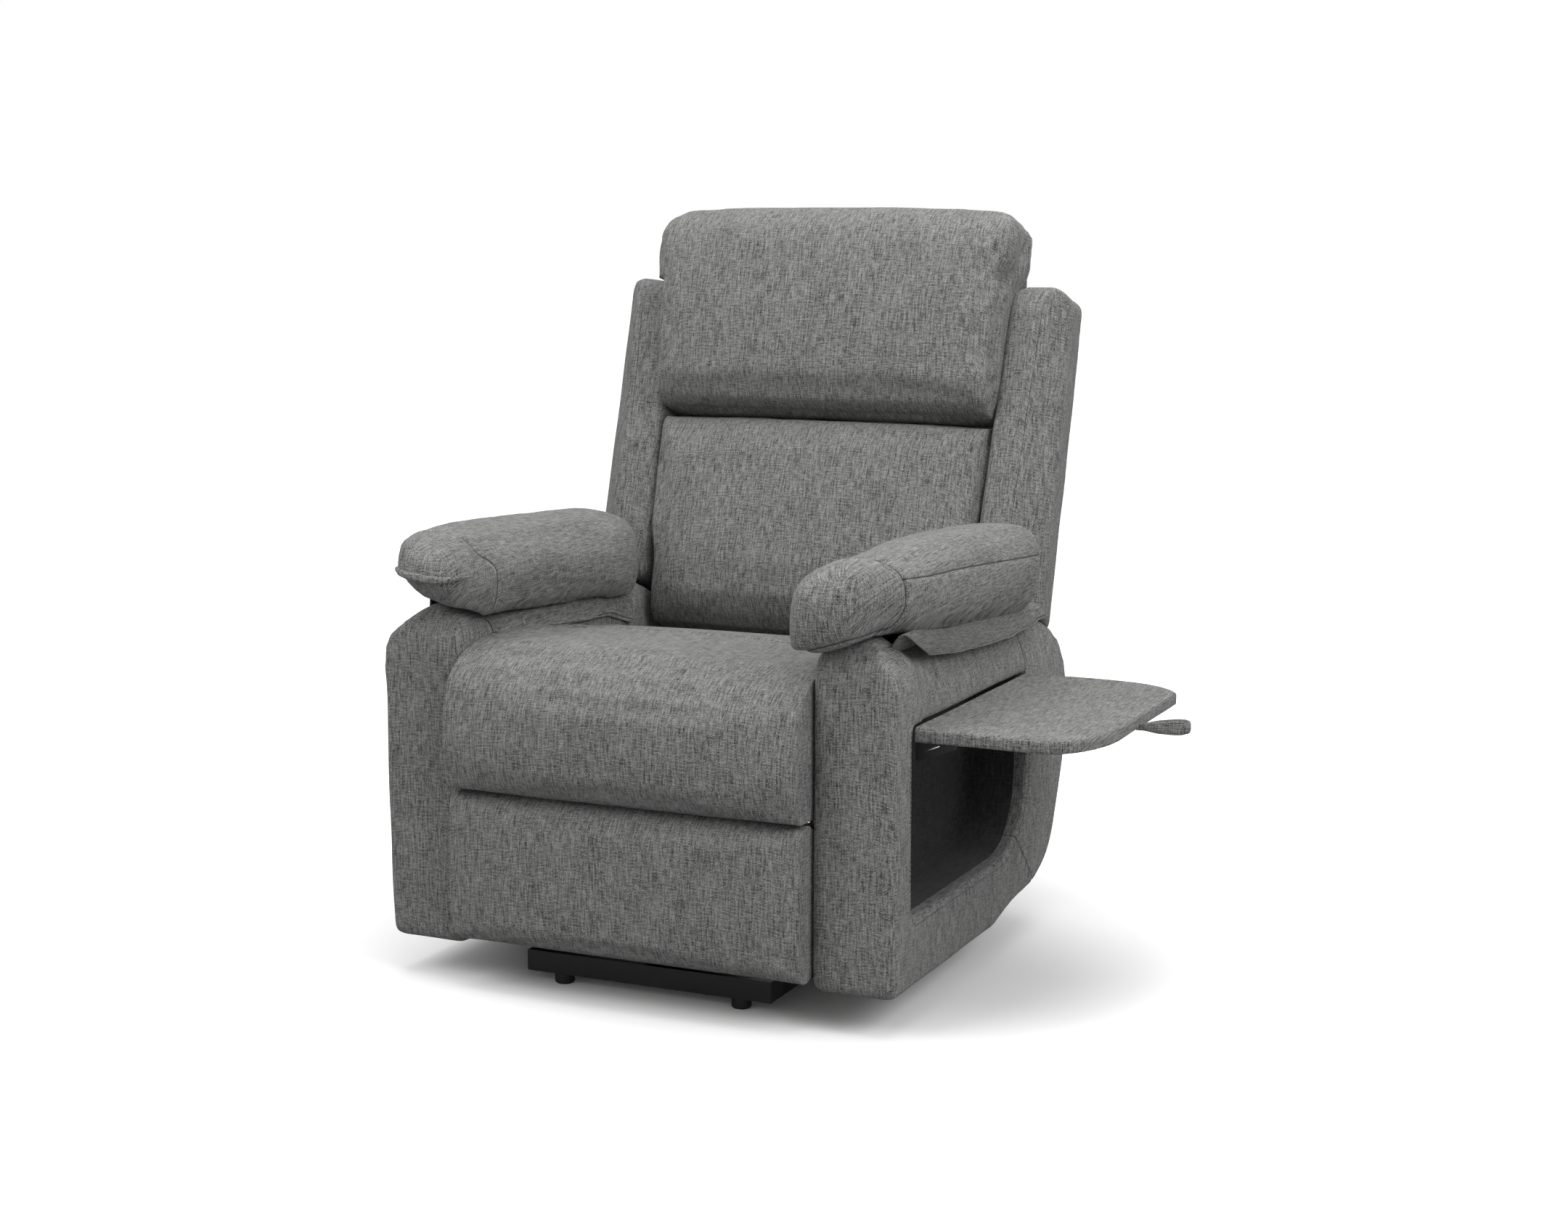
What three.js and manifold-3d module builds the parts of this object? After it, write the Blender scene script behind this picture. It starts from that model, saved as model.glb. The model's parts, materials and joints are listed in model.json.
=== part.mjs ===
// Lift recliner chair with a fold-out side table, in millimetres, +Z up.
// The chair faces -Y, and +X is the side with the storage pocket and its flap.
// It stands at rest: upright back, lowered footrest, flap folded out.
import * as THREE from 'three';
import { mergeVertices } from 'three/addons/utils/BufferGeometryUtils.js';
import Module from 'manifold-3d';

const wasm = await Module();
wasm.setup();

// ---------------------------------------------------------------- driving dimensions
const FIT = 0.3;                       // gap between pieces that touch
const PLATE = 5;                       // steel link and side plate thickness
const LANE_STEP = 8;                   // from one linkage plate to the next
const PIN_RADIUS = 6;
const PIN_FIT = 0.4;                   // radial play of a pin in its hole
const OPEN_PIVOT_FIT = 5;              // radial play of the tilt link's upper hole

// Upholstered body
const ARM_INNER = 268;                 // half the clear width between the arms
const ARM_WIDTH = 120;
const ARM_LENGTH = 724;
const ARM_BOTTOM = 53;
const ARM_FRONT_HEIGHT = 538;          // top of the domed front post
const ARM_REST_HEIGHT = 514;           // arm top under the pad
const POST_LENGTH = 70;                // level top of the front post
const POST_SLOPE = 50 / 24;            // run over rise, from the post down to the rest
const ARM_EDGE = 12;                   // rounding of the arm's edges
const OUTER_SHOULDER = [66, 150];      // width and fall of the arm's top towards its outer face
const INNER_SHOULDER = 44;             // fall towards its inner face
const ARM_TOE_RADIUS = 18;
const ARM_HEEL_RUN = 320;              // length of the swept-up heel
const ARM_HEEL_RISE = 115;
const BOARD = 12;                      // board inside each arm's inner face
const BOARD_TOP = 440;
const BOARD_ENDS = [60, 640];
const WING_CLEARANCE = 4;              // between the arm's top and the wing above it
const ARM_CORNER_RADIUS = 105;         // rear top corner, struck about the recline pivot

// Storage pocket in the +X arm and its flap
const POCKET_FRONT = 67;
const POCKET_LENGTH = 471;
const POCKET_BOTTOM = 152;
const POCKET_DEPTH = 100;
const POCKET_FRONT_RADIUS = 26;
const POCKET_REAR_RADIUS = 112;
const FLAP_TOP = 411;                  // hinge line height
const FLAP_REACH = 244;
const FLAP_THICKNESS = 18;
const FLAP_PLAY = 3;                   // flap to pocket edge when closed
const FLAP_FRONT_SWEEP = 125;          // rounding of the outer front corner
const LOOP_LENGTH = 70;
const LOOP_WIDTH = 18;
const LOOP_STRAP = 3;
const LOOP_GAP = 7;
const LOOP_AT = 296;
const BRACKET_PLATE = 3;
const BRACKET_LEG = 58;
const BRACKET_WIDTH = 16;

// Arm pads and the fabric aprons below them
const PAD_INNER = 242;                 // the pad hangs over the arm's inner face
const PAD_OUTER = 410;
const PAD_OVERHANG = 57;               // pad nose in front of the arm
const PAD_LENGTH = 624;
const PAD_TIP = 285;                   // where the nose reaches farthest, across the chair
const PAD_NOSE = [60, 235];            // length of its rounding, towards the inner and the outer side
const PAD_HEEL = [110, 50];
const PAD_HEEL_TURN = [332, 350];      // where the rear end's two roundings start, across the chair
const PAD_END = 52;                    // rounding of both ends, seen from the side
const PAD_TOP = 652;                   // heights above the arm's front plane, and their fall to the rear
const PAD_TOP_FALL = 0.055;
const PAD_UNDER = 533;
const PAD_UNDER_FALL = 0.083;
const PAD_LEAN = [0.28, 0.1];          // slope across, of its underside and of its top
const PAD_ROUND = 0.68;                // from 0.5, boxy, to 1, an ellipse
const APRON = 3;
const APRON_FRONT = 108;
const APRON_MIDDLE = 433;
const APRON_REAR = 613;
const APRON_INNER_REAR = 510;
const APRON_TOP_REAR = 542;
const OUTER_HEM = [12, 41, 30];        // drop below the arm's rest at the front, middle and rear
const INNER_HEM = [24, 46, 66];

// Seat and footrest
const SEAT_HALF = 266;
const SEAT_REAR = 540;
const SEAT_HEIGHT = 492;
const SEAT_SEAM = 288;                 // lower end of the seat's front roll
const SEAT_CROWN = 27;
const SEAT_CREASE = 302;               // sewn crease across the seat
const SEAT_BASE = 350;                 // top of the wooden seat frame
const FRAME_FRONT = 40;
const FRAME_REAR = 540;
const FRONT_RAIL_BOTTOM = 300;
const REAR_RAIL = 52;                  // height of the rear rail
const RAIL = 18;                       // wooden rail thickness
const SPRING_WIRE = 2;
const SPRING_COUNT = 4;
const SPRING_SWING = 26;
const SPRING_WAVES = 8;
const FOOTREST_HALF = 266;
const FOOTREST_BOTTOM = 68;
const FOOTREST_HEIGHT = 216.5;
const FOOTREST_FACE = -35;             // front face at its edges
const FOOTREST_CROWN = 10;
const FOOTREST_BOARD = 12;
const FOOTREST_BOARD_FRONT = 1;        // just behind the arm's front plane
const FOOTREST_WRAP = 20;              // how far back the pad's cover wraps round the board's ends

// Backrest, in its own upright frame whose origin is the recline pivot
const BACK_TILT = 16;                  // degrees
const PIVOT_Y = 622;
const PIVOT_Z = 372;
const BACK_HALF = 274.5;
const BACK_HEIGHT = 739;               // pivot to the head cushion's top
const HEAD_BOTTOM = 396;
const HEAD_HALF = 312;
const HEAD_DEPTH = 112;
const HEAD_CORNER = 66;
const LUMBAR_HALF = 280;
const LUMBAR_BOTTOM = 46;
const LUMBAR_DEPTH = 76;
const BACK_BOARD = 18;
const BOARD_FRONT = -22;
const WING_FRONT = -80;
const WING_INNER = 290;                // at the top
const WING_SPLAY = 20;                 // the inner faces stand that much closer at the pivot's height
const WING_WIDTH = 88;
const WING_FACE = 47;                  // width of the front face
const WING_TURN = 56;                  // depth over which its outer corner turns
const WING_TAPER = 14;                 // narrower again at the rear
const WING_TOP = 612;
const WING_SHOULDER = 38;              // rounding of the top outer corner, seen from the front
const WING_REAR_FOOT = 74;
const WING_REAR_TOP = 52;
const SHELL = 12;                      // rear cover thickness
const COVER_DEPTH = 60;                // rear cover behind the recline pivot

// Steel base and lift linkage
const FOOT_HEIGHT = 15.5;
const FOOT_RADIUS = 14;
const FOOT_X = 139;
const BASE_HALF = 190;
const BASE_TUBE = 30;
const BASE_FRONT = 48;
const BASE_LENGTH = 652;
const LIFT_PIVOT = [560, 70];          // y, z of the lift arm's pivot on the base
const LIFT_TIP = [190, 105];           // y, z of its pivot on the chassis
const TILT_PIVOT = [627.4, 112.9];     // the tilt link's pivot on the base
const TILT_TIP = [230, 130];
const LINK_HALF = 14;
const TORQUE_TUBE = [500, 75.7];
const TORQUE_RADIUS = 14;
const LIFT_CRANK = [450, 150];         // where the lift motor's rod pushes
const MOTOR_TAIL = [105, 62];
const LIFT_STROKE = 106;
const RECLINE_STROKE = 36;
const MOTOR_BOX = [18, 92];            // gearbox, along the motor from its tail pin
const MOTOR_TUBE_RADIUS = 18;
const MOTOR_CAN_RADIUS = 22;
const MOTOR_CAN_LENGTH = 84;
const MOTOR_CASE_HALF = 26;
const MOTOR_CORNER = 6;
const MOTOR_CAN_X = 50;
const FORK_LENGTH = 44;
const FORK_CHEEK = 4;
const CLEVIS_GAP = 12;                 // half the clear width at a motor's tail
const ROD_RADIUS = 10;
const CROSS_BAR = 25;
const CROSS_TOP = 244.7;
const CROSS_FRONT = 150;
const CROSS_REAR = 480;
const RECLINE_TAIL = [180, 200];
const RECLINE_CRANK_DROP = 75;         // below the recline pivot, in the back's frame
const CRANK_PLATE = 8;
const CONTROL_BOX = [130, 60, 34];     // width, length and height
const CONTROL_BOX_X = 60;

// Footrest linkage
const FOOT_LINK_PIVOT = [50, 225];
const FOOT_LINK_LENGTH = 185;
const FOOT_LINK_ANGLE = -35;           // degrees at rest, from +Y
const FOOT_LINK_HALF = 11;
const FOOT_BRACKET = [24, 150];

// ---------------------------------------------------------------- places worked out from them
const ARM_OUTER = ARM_INNER + ARM_WIDTH;
const POST_RUN = Math.abs(ARM_FRONT_HEIGHT - ARM_REST_HEIGHT) * POST_SLOPE;
const BEYOND = 2 * ARM_LENGTH;         // cutters reach past the whole chair
const SEAT_FRAME_BOTTOM = CROSS_TOP + FIT;
const BASE_TOP = FOOT_HEIGHT + BASE_TUBE;
const EAR_LANE = BASE_HALF - BASE_TUBE / 2 + PLATE / 2;
const LIFT_LANE = EAR_LANE + LANE_STEP + FIT;
const TILT_LANE = LIFT_LANE + LANE_STEP;
const CHASSIS_LANE = TILT_LANE + LANE_STEP + 1;
const REAR_LINK_LANE = CHASSIS_LANE + LANE_STEP;
const FRONT_LINK_LANE = REAR_LINK_LANE + LANE_STEP;
const BRACKET_LANE = FRONT_LINK_LANE + LANE_STEP;
const HINGE_X = ARM_OUTER - 2;
const radians = THREE.MathUtils.degToRad;
const FOOT_LINK_TIP = [
  FOOT_LINK_PIVOT[0] + FOOT_LINK_LENGTH * Math.cos(radians(FOOT_LINK_ANGLE)),
  FOOT_LINK_PIVOT[1] + FOOT_LINK_LENGTH * Math.sin(radians(FOOT_LINK_ANGLE)),
];

// ---------------------------------------------------------------- finishes
const finish = (color, roughness, metalness = 0) => ({ color, roughness, metalness });
const FABRIC = finish(0x666664, 0.95);
const BLACK_STEEL = finish(0x18191a, 0.45, 0.6);
const ZINC = finish(0x9a9c9e, 0.4, 0.8);
const PLYWOOD = finish(0xb08d5e, 0.8);
const BLACK_PLASTIC = finish(0x1b1c1e, 0.55);
const SPRING_STEEL = finish(0x4a4c50, 0.4, 0.8);

// ---------------------------------------------------------------- shape helpers
function solidOf(geometry) {
  const bare = geometry.clone();
  bare.deleteAttribute('normal');
  bare.deleteAttribute('uv');
  const merged = mergeVertices(bare, 1e-3);
  return new wasm.Manifold(new wasm.Mesh({
    numProp: 3,
    vertProperties: new Float32Array(merged.attributes.position.array),
    triVerts: new Uint32Array(merged.index.array),
  }));
}

function geometryOf(solid) {
  const mesh = solid.getMesh();
  const geometry = new THREE.BufferGeometry();
  geometry.setAttribute('position', new THREE.BufferAttribute(mesh.vertProperties, 3));
  geometry.setIndex(new THREE.BufferAttribute(mesh.triVerts, 1));
  return geometry;
}

// An outline's corners are [a, b] or [a, b, radius]; each radius becomes an arc.
function rounded(corners, steps = 6) {
  const points = [];
  corners.forEach(([a, b, radius = 0], i) => {
    const here = new THREE.Vector2(a, b);
    if (!radius) {
      points.push(here);
      return;
    }
    const before = new THREE.Vector2(...corners.at(i - 1)).sub(here).normalize();
    const after = new THREE.Vector2(...corners[(i + 1) % corners.length]).sub(here).normalize();
    const half = Math.acos(THREE.MathUtils.clamp(before.dot(after), -1, 1)) / 2;
    const reach = radius / Math.tan(half);
    const centre = before.clone().add(after).normalize().multiplyScalar(radius / Math.sin(half)).add(here);
    const from = before.multiplyScalar(reach).add(here).sub(centre);
    const to = after.multiplyScalar(reach).add(here).sub(centre);
    let turn = to.angle() - from.angle();
    turn -= Math.round(turn / (2 * Math.PI)) * 2 * Math.PI;
    for (let step = 0; step <= steps; step += 1) {
      points.push(from.clone().rotateAround(new THREE.Vector2(), turn * step / steps).add(centre));
    }
  });
  return points;
}

function extrude(outline, depth, bevel = 0) {
  const shape = new THREE.Shape(outline);
  return new THREE.ExtrudeGeometry(shape, {
    depth: depth - 2 * bevel,
    bevelEnabled: bevel > 0,
    bevelThickness: bevel,
    bevelSize: bevel,
    bevelOffset: -bevel,
    bevelSegments: 3,
    curveSegments: 6,
  }).translate(0, 0, bevel);
}

// Outline in (y, z), pushed along X from x0 to x1.
function sidePlate(outline, x0, x1, bevel = 0) {
  const turn = new THREE.Matrix4().makeBasis(
    new THREE.Vector3(0, 1, 0), new THREE.Vector3(0, 0, 1), new THREE.Vector3(1, 0, 0));
  return extrude(outline, x1 - x0, bevel).applyMatrix4(turn).translate(x0, 0, 0);
}

// Outline in (x, z), pushed along Y from y0 to y1.
function frontPlate(outline, y0, y1) {
  return extrude(outline, y1 - y0).rotateX(Math.PI / 2).translate(0, y1, 0);
}

// Outline in (x, y), pushed up from z0 to z1.
const flatPlate = (outline, z0, z1) => extrude(outline, z1 - z0).translate(0, 0, z0);

function block(x0, x1, y0, y1, z0, z1) {
  return new THREE.BoxGeometry(x1 - x0, y1 - y0, z1 - z0)
    .translate((x0 + x1) / 2, (y0 + y1) / 2, (z0 + z1) / 2);
}

function crossShaft([y, z], x0, x1, radius, sides = 18) {
  return new THREE.CylinderGeometry(radius, radius, x1 - x0, sides)
    .rotateZ(Math.PI / 2).translate((x0 + x1) / 2, y, z);
}

const join = (...shapes) => geometryOf(shapes.map(solidOf).reduce((whole, piece) => whole.add(piece)));

function cut(shape, ...tools) {
  return geometryOf(tools.map(solidOf).reduce((rest, tool) => rest.subtract(tool), solidOf(shape)));
}

const common = (shape, other) => geometryOf(solidOf(shape).intersect(solidOf(other)));

// Part of an ellipse about (a, b), from one angle in degrees to another.
const sweep = (a, b, reachA, reachB, from, to, steps = 8) => Array.from({ length: steps + 1 }, (_, i) => {
  const angle = radians(from + (to - from) * i / steps);
  return new THREE.Vector2(a + reachA * Math.cos(angle), b + reachB * Math.sin(angle));
});

// A flat bar with round ends from one (y, z) point to another, as an outline.
function barOutline(from, to, half, steps = 6) {
  const a = new THREE.Vector2(...from);
  const b = new THREE.Vector2(...to);
  const heading = b.clone().sub(a).angle();
  const points = [];
  for (const [centre, start] of [[a, heading + Math.PI / 2], [b, heading - Math.PI / 2]]) {
    for (let step = 0; step <= steps; step += 1) {
      const angle = start + Math.PI * step / steps;
      points.push(new THREE.Vector2(Math.cos(angle), Math.sin(angle)).multiplyScalar(half).add(centre));
    }
  }
  return points;
}

// A closed skin over rings with equal point counts; flat turns a ring point into cap coordinates.
function loft(rings, flat) {
  const count = rings[0].length;
  const positions = rings.flatMap((ring) => ring.flatMap((point) => point.toArray()));
  const index = [];
  for (let ring = 0; ring + 1 < rings.length; ring += 1) {
    for (let i = 0; i < count; i += 1) {
      const a = ring * count + i;
      const b = ring * count + (i + 1) % count;
      index.push(a, b, b + count, a, b + count, a + count);
    }
  }
  const last = (rings.length - 1) * count;
  const clockwise = THREE.ShapeUtils.isClockWise(rings[0].map(flat));
  for (const [ring, offset, turned] of [[rings[0], 0, !clockwise], [rings.at(-1), last, clockwise]]) {
    for (const [a, b, c] of THREE.ShapeUtils.triangulateShape(ring.map(flat), [])) {
      const facing = THREE.ShapeUtils.isClockWise([a, b, c].map((i) => flat(ring[i])));
      index.push(...(facing === turned ? [a, b, c] : [a, c, b]).map((i) => i + offset));
    }
  }
  const geometry = new THREE.BufferGeometry();
  geometry.setAttribute('position', new THREE.Float32BufferAttribute(positions, 3));
  geometry.setIndex(index);
  if (solidOf(geometry).volume() < 0) {
    geometry.setIndex(index.reverse());
  }
  return geometry;
}

// A cushion across the chair. Its side profile in (y, z) has points [y, z, soft]: a soft point
// swells outwards by the crown at mid width and draws in over the edge radius at the ends.
function cushion({ half, profile, crown, edge, shape = (x) => x }) {
  const inside = profile.map(([y, z]) => new THREE.Vector2(y, z));
  const sign = THREE.ShapeUtils.isClockWise(inside) ? -1 : 1;
  const normals = profile.map((_, i) => {
    const along = inside[(i + 1) % inside.length].clone().sub(inside.at(i - 1)).normalize();
    return new THREE.Vector2(along.y, -along.x).multiplyScalar(sign);
  });
  const fractions = [1, 0.992, 0.97, 0.93, 0.86, 0.72, 0.52, 0.27, 0];
  const stations = [...fractions.map((f) => -f), ...fractions.slice(0, -1).reverse()];
  const rings = stations.map((f) => {
    const past = Math.max(0, Math.abs(f) * half - (half - edge));
    const drawn = edge - Math.sqrt(Math.max(0, edge * edge - past * past));
    const swell = crown * (1 - Math.abs(f) ** 2.6);
    return profile.map(([y, z, soft = 0], i) => {
      const out = (swell - drawn) * soft;
      const height = z + normals[i].y * out;
      return new THREE.Vector3(shape(f * half, height), y + normals[i].x * out, height);
    });
  });
  return loft(rings, (point) => new THREE.Vector2(point.y, point.z));
}

// ---------------------------------------------------------------- assembly helpers
const chair = new THREE.Group();
const back = new THREE.Group();
back.position.set(0, PIVOT_Y, PIVOT_Z);
back.rotation.x = -radians(BACK_TILT);
chair.add(back);

function place(name, geometry, look, group = chair) {
  const mesh = new THREE.Mesh(geometry, new THREE.MeshStandardMaterial(look));
  mesh.name = name;
  group.add(mesh);
}

const mirrored = (geometry) => {
  const twin = geometry.clone().applyMatrix4(new THREE.Matrix4().makeScale(-1, 1, 1));
  const index = twin.index ? Array.from(twin.index.array) : [...Array(twin.attributes.position.count).keys()];
  for (let i = 0; i < index.length; i += 3) {
    [index[i], index[i + 1]] = [index[i + 1], index[i]];
  }
  twin.setIndex(index);
  return twin;
};

// The same piece on both sides, from the one on the +X side.
function placePair(name, geometry, look, group = chair) {
  place(`${name}_right`, geometry, look, group);
  place(`${name}_left`, mirrored(geometry), look, group);
}

const lane = (outline, centre) => sidePlate(outline, centre - PLATE / 2, centre + PLATE / 2);
const hole = (at, centre, radius = PIN_RADIUS + PIN_FIT) => (
  crossShaft(at, centre - PLATE, centre + PLATE, radius));
const stud = (at, from, to) => crossShaft(at, from, to + PLATE / 2 + 1, PIN_RADIUS);

// ---------------------------------------------------------------- base: rails, beams and feet
function baseRail() {
  const tube = block(BASE_HALF - BASE_TUBE, BASE_HALF, BASE_FRONT + BASE_TUBE + FIT,
    BASE_FRONT + BASE_LENGTH - BASE_TUBE - FIT, FOOT_HEIGHT, BASE_TOP);
  const earFoot = BASE_TOP - 1;
  const ears = [LIFT_PIVOT, TILT_PIVOT].map(([y, z]) => lane([
    ...sweep(y, z, LINK_HALF, LINK_HALF, 0, 180),
    new THREE.Vector2(y - LINK_HALF - 8, earFoot),
    new THREE.Vector2(y + LINK_HALF + 8, earFoot),
  ], EAR_LANE));
  return join(tube, ...ears,
    stud(LIFT_PIVOT, EAR_LANE - PLATE / 2, LIFT_LANE),
    stud(TILT_PIVOT, EAR_LANE - PLATE / 2, TILT_LANE));
}

function baseBeam(y0, withClevis) {
  const beam = block(-BASE_HALF, BASE_HALF, y0, y0 + BASE_TUBE, FOOT_HEIGHT, BASE_TOP);
  if (!withClevis) {
    return beam;
  }
  const [y, z] = MOTOR_TAIL;
  const cheek = (x) => sidePlate(rounded([
    [y0 + BASE_TUBE - 1, FOOT_HEIGHT + 4], [y + 8, FOOT_HEIGHT + 4, 4],
    [y + 14, z + 14, 10], [y - 14, z + 14, 10], [y0 + BASE_TUBE - 1, BASE_TOP - 2],
  ]), x, x + PLATE);
  return join(beam, cheek(CLEVIS_GAP), cheek(-CLEVIS_GAP - PLATE),
    crossShaft(MOTOR_TAIL, -CLEVIS_GAP - 1, CLEVIS_GAP + 1, PIN_RADIUS));
}

const BASE_REAR = BASE_FRONT + BASE_LENGTH - BASE_TUBE;
placePair('base_rail', baseRail(), BLACK_STEEL);
place('base_beam_front', baseBeam(BASE_FRONT, true), BLACK_STEEL);
place('base_beam_rear', baseBeam(BASE_REAR, false), BLACK_STEEL);
for (const [end, y] of [['front', BASE_FRONT + BASE_TUBE / 2], ['rear', BASE_REAR + BASE_TUBE / 2]]) {
  const glide = new THREE.LatheGeometry([
    [0, 0], [FOOT_RADIUS - 2, 0], [FOOT_RADIUS, 2], [FOOT_RADIUS, FOOT_HEIGHT - FIT], [0, FOOT_HEIGHT - FIT],
  ].map((p) => new THREE.Vector2(...p)), 20).rotateX(Math.PI / 2).translate(FOOT_X, y, 0);
  placePair(`foot_${end}`, glide, BLACK_PLASTIC);
}

// ---------------------------------------------------------------- lift linkage and its motor
placePair('lift_arm', cut(lane(barOutline(LIFT_PIVOT, LIFT_TIP, LINK_HALF), LIFT_LANE),
  hole(LIFT_PIVOT, LIFT_LANE), hole(LIFT_TIP, LIFT_LANE)), BLACK_STEEL);
placePair('tilt_link', cut(lane(barOutline(TILT_PIVOT, TILT_TIP, LINK_HALF), TILT_LANE),
  hole(TILT_PIVOT, TILT_LANE), hole(TILT_TIP, TILT_LANE, PIN_RADIUS + OPEN_PIVOT_FIT)), BLACK_STEEL);

const TORQUE_HALF = LIFT_LANE - PLATE / 2 - FIT;
place('lift_torque_tube', join(
  crossShaft(TORQUE_TUBE, -TORQUE_HALF, TORQUE_HALF, TORQUE_RADIUS),
  cut(sidePlate(barOutline(TORQUE_TUBE, LIFT_CRANK, LINK_HALF), -CRANK_PLATE / 2, CRANK_PLATE / 2),
    crossShaft(LIFT_CRANK, -CRANK_PLATE, CRANK_PLATE, PIN_RADIUS))), BLACK_STEEL);

// A linear motor lies along its own +Y from the tail pin at the origin.
const FORK_GAP = CRANK_PLATE / 2 + 1.5;
const motorReach = (tail, tip) => Math.hypot(tip[0] - tail[0], tip[1] - tail[1]);
const motorTubeEnd = (reach) => reach * 0.68;

function motorBody(reach) {
  const tubeEnd = motorTubeEnd(reach);
  const along = (x, y0, y1, radius) => new THREE.CylinderGeometry(radius, radius, y1 - y0, 20)
    .translate(x, (y0 + y1) / 2, 0);
  const near = -MOTOR_CASE_HALF;
  const far = MOTOR_CAN_X + MOTOR_CASE_HALF;
  const corners = [[near, near], [far, near], [far, -near], [near, -near]];
  const whole = join(
    sidePlate(barOutline([0, 0], [MOTOR_BOX[0] + 6, 0], 9), -8, 8),
    frontPlate(rounded(corners.map((at) => [...at, MOTOR_CORNER]), 3), ...MOTOR_BOX),
    along(MOTOR_CAN_X, MOTOR_BOX[1] - 1, MOTOR_BOX[1] + MOTOR_CAN_LENGTH, MOTOR_CAN_RADIUS),
    along(0, MOTOR_BOX[1] - 1, tubeEnd, MOTOR_TUBE_RADIUS));
  return cut(whole, crossShaft([0, 0], -20, 20, PIN_RADIUS + PIN_FIT),
    along(0, MOTOR_BOX[1] + 8, tubeEnd + 1, ROD_RADIUS + PIN_FIT));
}

function motorRod(reach, travel) {
  const start = motorTubeEnd(reach) - travel - 30;
  const forkBack = reach - FORK_LENGTH;
  const rod = new THREE.CylinderGeometry(ROD_RADIUS, ROD_RADIUS, forkBack - start, 18)
    .translate(0, (start + forkBack) / 2, 0);
  const width = FORK_GAP + FORK_CHEEK;
  const fork = cut(sidePlate(barOutline([forkBack, 0], [reach, 0], 12), -width, width),
    block(-FORK_GAP, FORK_GAP, forkBack + 8, reach + 20, -20, 20));
  return join(rod, fork);
}

function placeMotor(name, tail, tip, travel) {
  const group = new THREE.Group();
  group.position.set(0, ...tail);
  group.rotation.x = Math.atan2(tip[1] - tail[1], tip[0] - tail[0]);
  chair.add(group);
  const reach = motorReach(tail, tip);
  place(`${name}_motor`, motorBody(reach), BLACK_PLASTIC, group);
  place(`${name}_rod`, motorRod(reach, travel), ZINC, group);
}

placeMotor('lift', MOTOR_TAIL, LIFT_CRANK, LIFT_STROKE);

// ---------------------------------------------------------------- chassis: side plates and bars
function chassisPlate() {
  const post = 16;
  const outline = rounded([
    [FOOT_LINK_PIVOT[0] - 14, FOOT_LINK_PIVOT[1] - 14, 12],
    [LIFT_TIP[0] - 22, LIFT_TIP[1] - 16, 14],
    [TILT_TIP[0] + 24, LIFT_TIP[1] - 16, 16],
    [CROSS_REAR + 60, CROSS_TOP - 62, 20],
    [PIVOT_Y + post, PIVOT_Z - 10, 10],
    [PIVOT_Y + post, PIVOT_Z + post, 12],
    [PIVOT_Y - post, PIVOT_Z + post, 12],
    [CROSS_REAR + 24, CROSS_TOP, 16],
    [FOOT_LINK_PIVOT[0] - 14, CROSS_TOP, 12],
  ], 5);
  return join(lane(outline, CHASSIS_LANE),
    crossShaft(LIFT_TIP, LIFT_LANE - PLATE / 2 - 1, CHASSIS_LANE + PLATE / 2, PIN_RADIUS),
    crossShaft(TILT_TIP, TILT_LANE - PLATE / 2 - 1, CHASSIS_LANE + PLATE / 2, PIN_RADIUS),
    stud([PIVOT_Y, PIVOT_Z], CHASSIS_LANE - PLATE / 2, REAR_LINK_LANE),
    stud(FOOT_LINK_PIVOT, CHASSIS_LANE - PLATE / 2, REAR_LINK_LANE));
}

// A bar lies on top of the plates' notches and carries the seat frame.
function crossBar(y, withClevis) {
  const half = ARM_INNER - FIT - 1;
  const bar = block(-half, half, y - CROSS_BAR / 2, y + CROSS_BAR / 2, CROSS_TOP - CROSS_BAR, CROSS_TOP);
  if (!withClevis) {
    return bar;
  }
  const [tailY, tailZ] = RECLINE_TAIL;
  const cheek = (x) => sidePlate(rounded([
    [y + 2, CROSS_TOP - CROSS_BAR + 3], [y + 2, tailZ - 14, 6], [tailY + 13, tailZ - 14, 10],
    [tailY + 13, tailZ + 12, 8], [y + CROSS_BAR / 2 - 1, CROSS_TOP - 2],
  ]), x, x + PLATE);
  return join(bar, cheek(CLEVIS_GAP), cheek(-CLEVIS_GAP - PLATE),
    crossShaft(RECLINE_TAIL, -CLEVIS_GAP - 1, CLEVIS_GAP + 1, PIN_RADIUS));
}

const barNotch = (y) => block(-ARM_INNER, ARM_INNER, y - CROSS_BAR / 2 - FIT, y + CROSS_BAR / 2 + FIT,
  CROSS_TOP - CROSS_BAR - FIT, CROSS_TOP + CROSS_BAR);
placePair('chassis_plate', cut(chassisPlate(), barNotch(CROSS_FRONT), barNotch(CROSS_REAR)), BLACK_STEEL);
place('chassis_bar_front', crossBar(CROSS_FRONT, true), BLACK_STEEL);
place('chassis_bar_rear', crossBar(CROSS_REAR, false), BLACK_STEEL);

const boxFront = CROSS_REAR + CROSS_BAR / 2 + FIT;
const boxRear = boxFront + CONTROL_BOX[1];
const boxSocket = (x, width) => block(x, x + width, boxRear - 1, boxRear + 9, CROSS_TOP - 26, CROSS_TOP - 8);
place('control_box', join(
  block(CONTROL_BOX_X, CONTROL_BOX_X + CONTROL_BOX[0], boxFront, boxFront + CONTROL_BOX[1],
    CROSS_TOP - CONTROL_BOX[2], CROSS_TOP),
  boxSocket(CONTROL_BOX_X + 24, 24), boxSocket(CONTROL_BOX_X + 72, 18)), BLACK_PLASTIC);

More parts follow.
